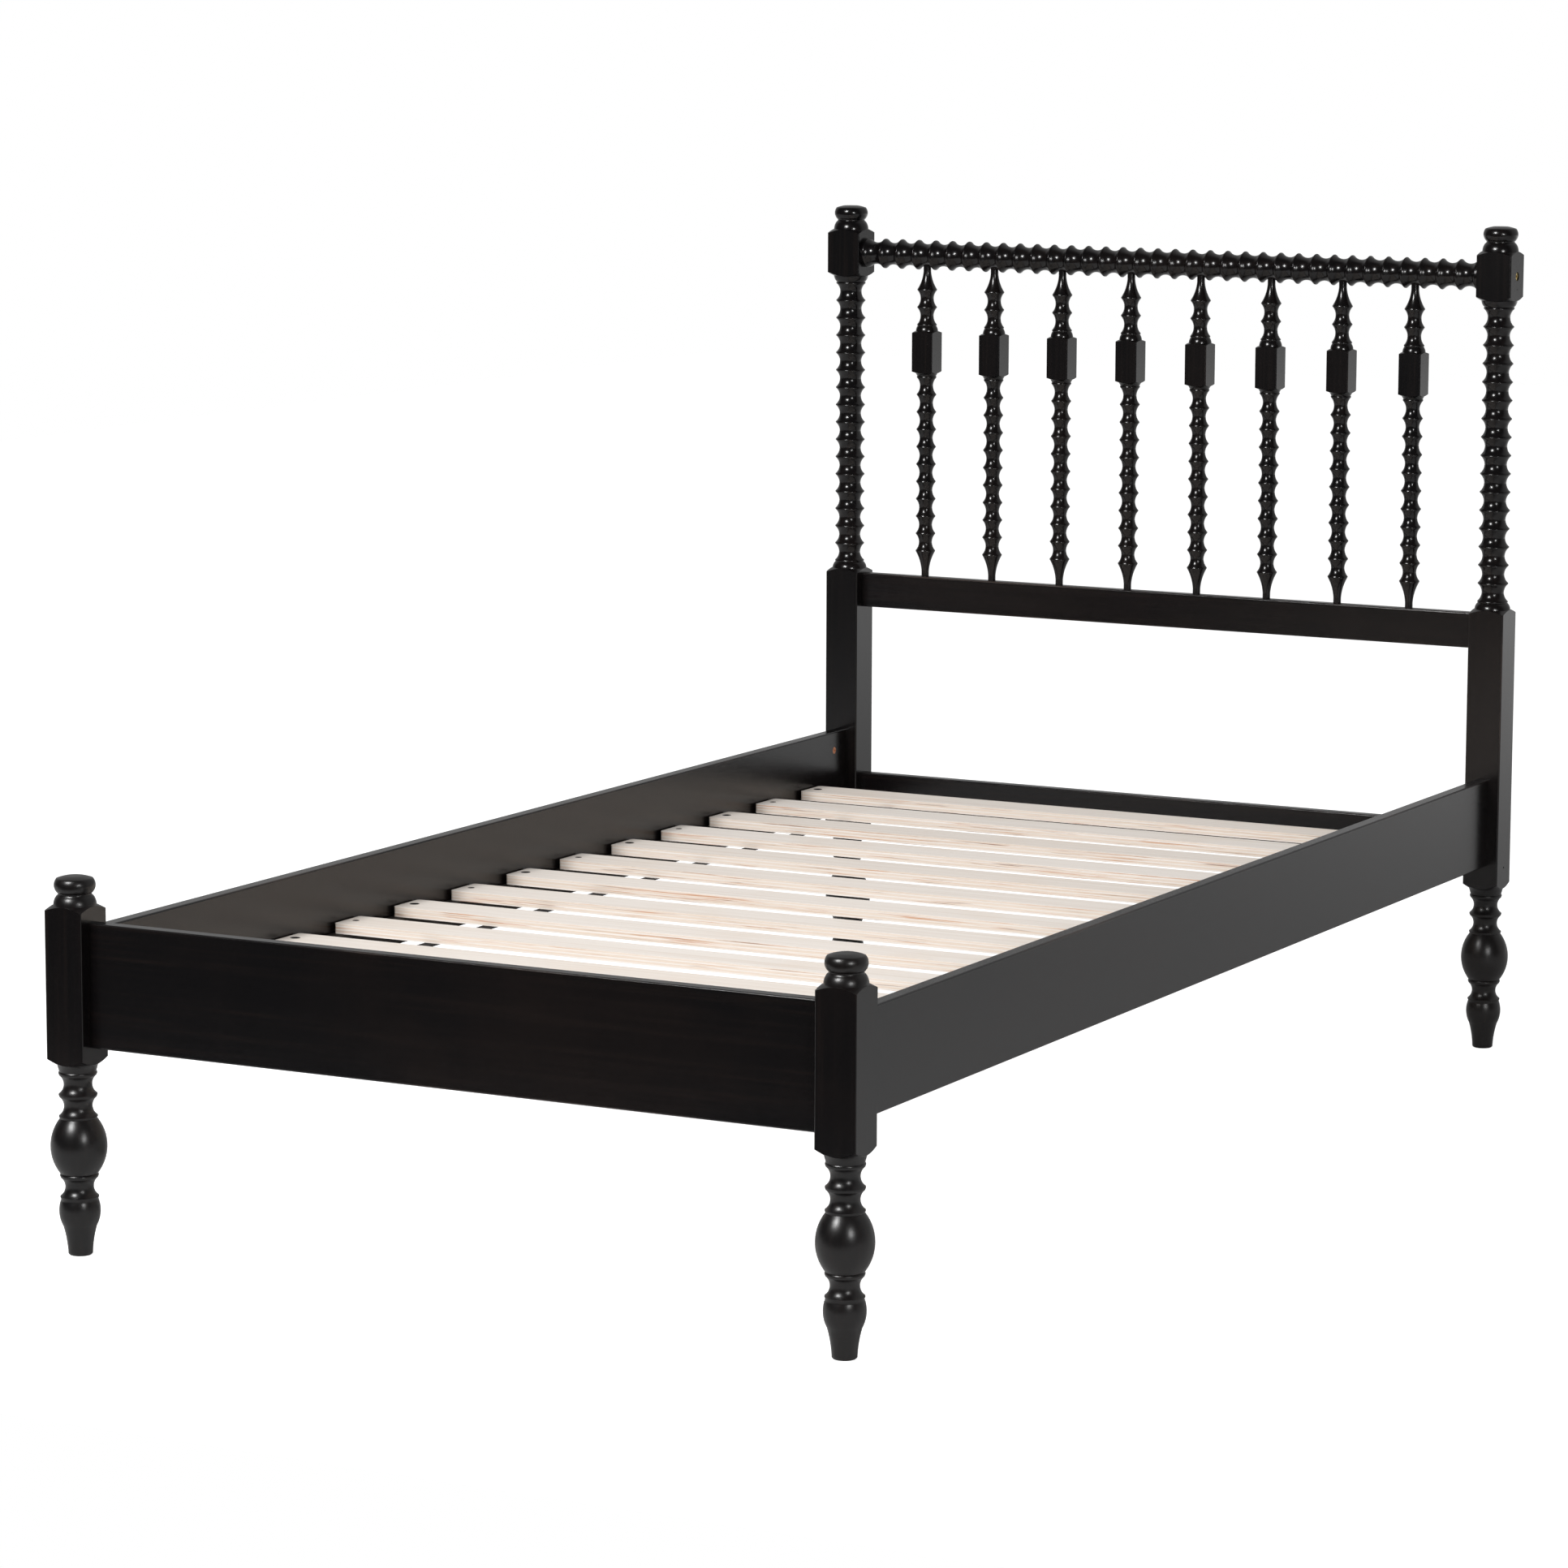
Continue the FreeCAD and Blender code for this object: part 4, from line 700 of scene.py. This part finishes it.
def plane_off(work, floor, angle, distance):
    """Plane one flat at a distance from the axis, on all that lies above a height."""
    verts = {vert for vert in work.verts if vert.co.z > floor * MM}
    edges = [edge for edge in work.edges if verts.issuperset(edge.verts)]
    faces = [face for face in work.faces if verts.issuperset(face.verts)]
    normal = Vector((math.cos(math.radians(angle)), math.sin(math.radians(angle)), 0))
    cut = bmesh.ops.bisect_plane(work, geom=[*verts, *edges, *faces], dist=1e-7,
                                 plane_co=normal * distance * MM, plane_no=normal, clear_outer=True)
    rim = [item for item in cut["geom_cut"] if isinstance(item, bmesh.types.BMEdge)]
    return bmesh.ops.holes_fill(work, edges=rim, sides=0)["faces"]


def square_up(work, half, rounding, floor):
    """Plane a round blank square, with rounded arrises."""
    arris = work.loops.layers.float["arris"]
    for side in range(4):
        for face in plane_off(work, floor, side * 90, half):
            face.material_index = PLANED_FACE
            face.smooth = False
    for side in range(4):
        for stroke in ARRIS_STROKES:
            turn = math.radians(stroke)
            reach = (half - rounding) * (math.cos(turn) + math.sin(turn)) + rounding
            for face in plane_off(work, floor, side * 90 + stroke, reach):
                face.material_index = PLANED_FACE
                face.smooth = True
                for loop in face.loops:
                    loop[arris] = 1.0


def count_open(work):
    """How many edges don't join exactly two faces."""
    return sum(1 for edge in work.edges if not edge.is_manifold)


foot_blank = spin_blank(foot_profile, POST_SIDES)
square_up(foot_blank, POST_HALF, POST_ROUNDING, BELL_END - 1)
head_blank = spin_blank(head_profile, POST_SIDES)
square_up(head_blank, POST_HALF, POST_ROUNDING, BELL_END - 1)
for label, blank in (("foot post", foot_blank), ("head post", head_blank)):
    print(label, len(blank.faces), "faces,", count_open(blank), "open edges")

# %% [markdown]
# ### Bring a piece into the scene
# A piece sits in its mesh, with its object at the origin, as the frame's own pieces do. Edges that turn
# sharply stay crisp and the rest is shaded smooth. The piece then rides on the bed's one body, stands
# for its frame piece, which is hidden, and takes its finishes.

# %% Set a piece in its place
CRISP = math.radians(50)


def settle(work):
    """Point the faces outwards and keep the sharp edges sharp."""
    bmesh.ops.recalc_face_normals(work, faces=work.faces)
    for edge in work.edges:
        edge.smooth = len(edge.link_faces) == 2 and edge.calc_face_angle(0.0) < CRISP


def make_piece(name, mesh, materials, stands_for):
    """An object for a finished mesh, on the bed's body, in place of its frame piece."""
    for material in materials:
        mesh.materials.append(material)
    piece = bpy.data.objects.new(name, mesh)
    bpy.context.scene.collection.objects.link(piece)
    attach(piece, "root")
    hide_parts(stands_for)


def mesh_from(work, name):
    settle(work)
    mesh = bpy.data.meshes.new(name)
    work.to_mesh(mesh)
    work.free()
    return mesh


def centre_of(node):
    low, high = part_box(node)
    return (low + high) / 2


print("post centres", [[round(value, 4) for value in centre_of(name)[:2]] for name in posts])

# %% [markdown]
# ### Holes
# A bolt sits in a counterbored hole on the outer side of each head post, with a nail hole below it and
# another small hole low on the leg's square. A hole could be faked with a dark spot, but a real one
# shades itself from every side. A Boolean takes a bit's shape out of the wood, and is applied at once.

# %% Drill a mesh
def drill(mesh, bits):
    """Take round bits (start, end, radius) out of a mesh. Places are in metres."""
    cutter = bmesh.new()
    for start, end, radius in bits:
        way = Vector(end) - Vector(start)
        turn = way.to_track_quat("Z", "Y").to_matrix().to_4x4()
        place = Matrix.Translation((Vector(start) + Vector(end)) / 2) @ turn
        bmesh.ops.create_cone(cutter, cap_ends=True, segments=40, radius1=radius, radius2=radius,
                              depth=way.length, matrix=place)
    cutter_mesh = bpy.data.meshes.new("bits")
    cutter.to_mesh(cutter_mesh)
    cutter.free()
    tool = bpy.data.objects.new("bits", cutter_mesh)
    blank = bpy.data.objects.new("blank", mesh)
    for thing in (tool, blank):
        bpy.context.scene.collection.objects.link(thing)
    cut = blank.modifiers.new("drill", "BOOLEAN")
    cut.operation = "DIFFERENCE"
    cut.solver = "EXACT"
    cut.object = tool
    seen = blank.evaluated_get(bpy.context.evaluated_depsgraph_get())
    drilled = bpy.data.meshes.new_from_object(seen)
    for thing in (tool, blank):
        bpy.data.objects.remove(thing)
    return drilled


BOLT_HEIGHT = 1.09958
NAIL_HEIGHT = BOLT_HEIGHT - 0.0182
LOW_HOLE_HEIGHT = 0.2618
BOLT_SEAT_DEPTH, NAIL_DEPTH, LOW_HOLE_DEPTH = 0.0055, 0.004, 0.006
BOLT_SEAT_RADIUS, NAIL_RADIUS, LOW_HOLE_RADIUS = 0.0063, 0.001, 0.0015
RUN_UP = 0.002

outer = POST_HALF * MM
outer_bits = [
    ((outer + RUN_UP, 0, height), (outer - depth, 0, height), radius)
    for height, depth, radius in (
        (BOLT_HEIGHT, BOLT_SEAT_DEPTH, BOLT_SEAT_RADIUS),
        (NAIL_HEIGHT, NAIL_DEPTH, NAIL_RADIUS),
        (LOW_HOLE_HEIGHT, LOW_HOLE_DEPTH, LOW_HOLE_RADIUS))
]
foot_mesh = mesh_from(foot_blank, "foot_post")
head_mesh = drill(mesh_from(head_blank, "head_post"), outer_bits)
print("head post drilled,", len(head_mesh.polygons), "faces,", len(head_mesh.materials), "slots")

# %% Stand the four posts
def stand(name, mesh, node, turn):
    """A copy of a post at its corner of the bed. A left post is turned half round."""
    centre = centre_of(node)
    own = mesh.copy()
    own.transform(Matrix.Translation((centre.x, centre.y, 0)) @ Matrix.Rotation(turn, 4, "Z"))
    make_piece(name, own, [paint["turned_z"], paint["flat_z"]], node)


for side, turn in (("left", math.pi), ("right", 0.0)):
    stand(f"turned_foot_post_{side}", foot_mesh, f"foot_post_{side}", turn)
    stand(f"turned_head_post_{side}", head_mesh, f"head_post_{side}", turn)
print("four posts")

# %% [markdown]
# ### Spindles and top rail
# Eight equal spindles stand between the middle rail and the ribbed top rail. Each thins to a neck at both
# ends and keeps one small square. The top rail is turned too, and lies along the bed's width.

# %% Turn the spindles
SPINDLE_HALF = 16.8
SPINDLE_CORNER = SPINDLE_HALF * math.sqrt(2)
SPINDLE_WASTE = SPINDLE_CORNER + 2.0
SPINDLE_RIDGE = 14.6
SPINDLE_VALLEY = 9.7
SPINDLE_SHOULDER = 16.4
SPINDLE_RING = 13.9
SPINDLE_SQUARE = 56.7
SPINDLE_PITCH = 25.757
SPINDLE_SIDES = 64
SPINDLE_ROUNDING = 1.5
SPINDLE_FOOT = 623.9
SPINDLE_END = 1083.78
NECK = 5.6


def draw_spindle():
    ribs = SPINDLE_FOOT + 38.4
    square = ribs + 10 * SPINDLE_PITCH + 8.6
    top = square + SPINDLE_SQUARE
    upper = top + 11.9
    profile = Profile(0, SPINDLE_FOOT - 8).to(NECK, SPINDLE_FOOT - 8).to(NECK, SPINDLE_FOOT + 8)
    profile.swell(SPINDLE_RIDGE, ribs - 0.45, -1.9, 12).to(SPINDLE_RIDGE, ribs + 0.45)
    profile.coves(10, SPINDLE_PITCH, SPINDLE_RIDGE, SPINDLE_VALLEY)
    profile.to(SPINDLE_RING, square - 6.95).to(SPINDLE_SHOULDER, square - 2.6)
    profile.to(SPINDLE_CORNER, square).to(SPINDLE_WASTE, square)
    profile.to(SPINDLE_WASTE, top).to(SPINDLE_CORNER, top)
    profile.to(SPINDLE_SHOULDER, top + 2.6).swell(SPINDLE_RING, upper - 1.65, 0.6)
    profile.to(SPINDLE_RIDGE, upper - 0.45).to(SPINDLE_RIDGE, upper + 0.45)
    profile.coves(2, SPINDLE_PITCH, SPINDLE_RIDGE, SPINDLE_VALLEY)
    profile.swell(NECK, SPINDLE_END - 8, -1.9, 12).to(NECK, SPINDLE_END + 3).to(0, SPINDLE_END + 3)
    return profile


spindle_blank = spin_blank(draw_spindle(), SPINDLE_SIDES)
square_up(spindle_blank, SPINDLE_HALF, SPINDLE_ROUNDING, SPINDLE_FOOT - 20)
print("spindle:", len(spindle_blank.faces), "faces,", count_open(spindle_blank), "open edges")
spindle_mesh = mesh_from(spindle_blank, "spindle")
for node in spindles:
    centre = centre_of(node)
    own = spindle_mesh.copy()
    own.transform(Matrix.Translation((centre.x, centre.y, 0)))
    make_piece(f"turned_{node}", own, [paint["turned_z"], paint["flat_z"]], node)

# %% Turn the top rail and lay it down
RAIL_HALF = 486.5
RAIL_RIDGE = 21.8
RAIL_NECK = 20.8
RAIL_FIRST = 482.1
RAIL_COVES = 35
RAIL_PITCH = 2 * RAIL_FIRST / RAIL_COVES
RAIL_STUB = RAIL_HALF + 0.5
RAIL_SIDES = 64

rail_profile = Profile(0, -RAIL_STUB).to(RAIL_NECK, -RAIL_STUB).to(RAIL_NECK, -RAIL_HALF)
rail_profile.to(RAIL_RIDGE, -RAIL_FIRST - 0.45).to(RAIL_RIDGE, -RAIL_FIRST + 0.45)
rail_profile.coves(RAIL_COVES, RAIL_PITCH, RAIL_RIDGE, COVE_VALLEY)
rail_profile.to(RAIL_NECK, RAIL_HALF).to(RAIL_NECK, RAIL_STUB).to(0, RAIL_STUB)
rail_mesh = mesh_from(spin_blank(rail_profile, RAIL_SIDES), "top_rail")
rail_centre = Vector((0, centre_of("top_rail").y, BOLT_HEIGHT))
rail_mesh.transform(Matrix.Translation(rail_centre) @ Matrix.Rotation(math.pi / 2, 4, "Y"))
make_piece("turned_top_rail", rail_mesh, [paint["turned_x"]], "top_rail")
print("top rail:", len(rail_mesh.polygons), "faces")

# %% [markdown]
# ## Flat rails
# The five rails are planed boards with softly rounded long edges. A cube stretched to the board's size
# and a bevel on its four long edges is all it takes. The bevel's faces get the arris mark as well.

# %% Plane a board
def board(low, high, along, rounding):
    """A board between two corners, in metres, with rounded edges along one axis."""
    work = bmesh.new()
    arris = work.loops.layers.float.new("arris")
    size = Vector(high) - Vector(low)
    place = Matrix.Translation((Vector(low) + Vector(high)) / 2) @ Matrix.Diagonal((*size, 1))
    bmesh.ops.create_cube(work, size=1.0, matrix=place)
    direction = Vector([1.0 if axis == along else 0.0 for axis in "XYZ"])
    long_edges = [edge for edge in work.edges
                  if abs((edge.verts[1].co - edge.verts[0].co).normalized().dot(direction)) > 0.9]
    rounded = bmesh.ops.bevel(work, geom=long_edges, offset=rounding, offset_type="OFFSET", segments=5,
                              profile=0.5, affect="EDGES", material=-1)
    for face in rounded["faces"]:
        face.smooth = True
        for loop in face.loops:
            loop[arris] = 1.0
    return work


RAIL_ROUNDING = 2.0 * MM
for node in ("foot_rail", "mid_rail", "head_bottom_rail"):
    low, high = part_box(node)
    low.x, high.x = -RAIL_HALF * MM, RAIL_HALF * MM
    rail = mesh_from(board(low, high, "X", RAIL_ROUNDING), node)
    make_piece(f"planed_{node}", rail, [paint["flat_x"]], node)
print("three cross rails")

# %% Bore the side rails for their fittings
CAM_HEIGHTS = (0.2930, 0.3620)
CAM_PLACE = 0.917
CAM_DEPTH = 0.013
CAM_RADIUS = 0.0051
for side, sign in (("left", -1), ("right", 1)):
    node = f"side_rail_{side}"
    low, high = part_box(node)
    inner = high.x if sign < 0 else low.x
    start, stop = inner - sign * RUN_UP, inner + sign * CAM_DEPTH
    bits = [((start, end * CAM_PLACE, height), (stop, end * CAM_PLACE, height), CAM_RADIUS)
            for end in (-1, 1) for height in CAM_HEIGHTS]
    rail = drill(mesh_from(board(low, high, "Y", RAIL_ROUNDING), node), bits)
    make_piece(f"planed_{node}", rail, [paint["flat_y"]], node)
    print(node, len(rail.polygons), "faces")

# %% [markdown]
# ## Finish
# The view keeps plain colours.

# %% Finish
bpy.context.scene.view_settings.view_transform = "Standard"
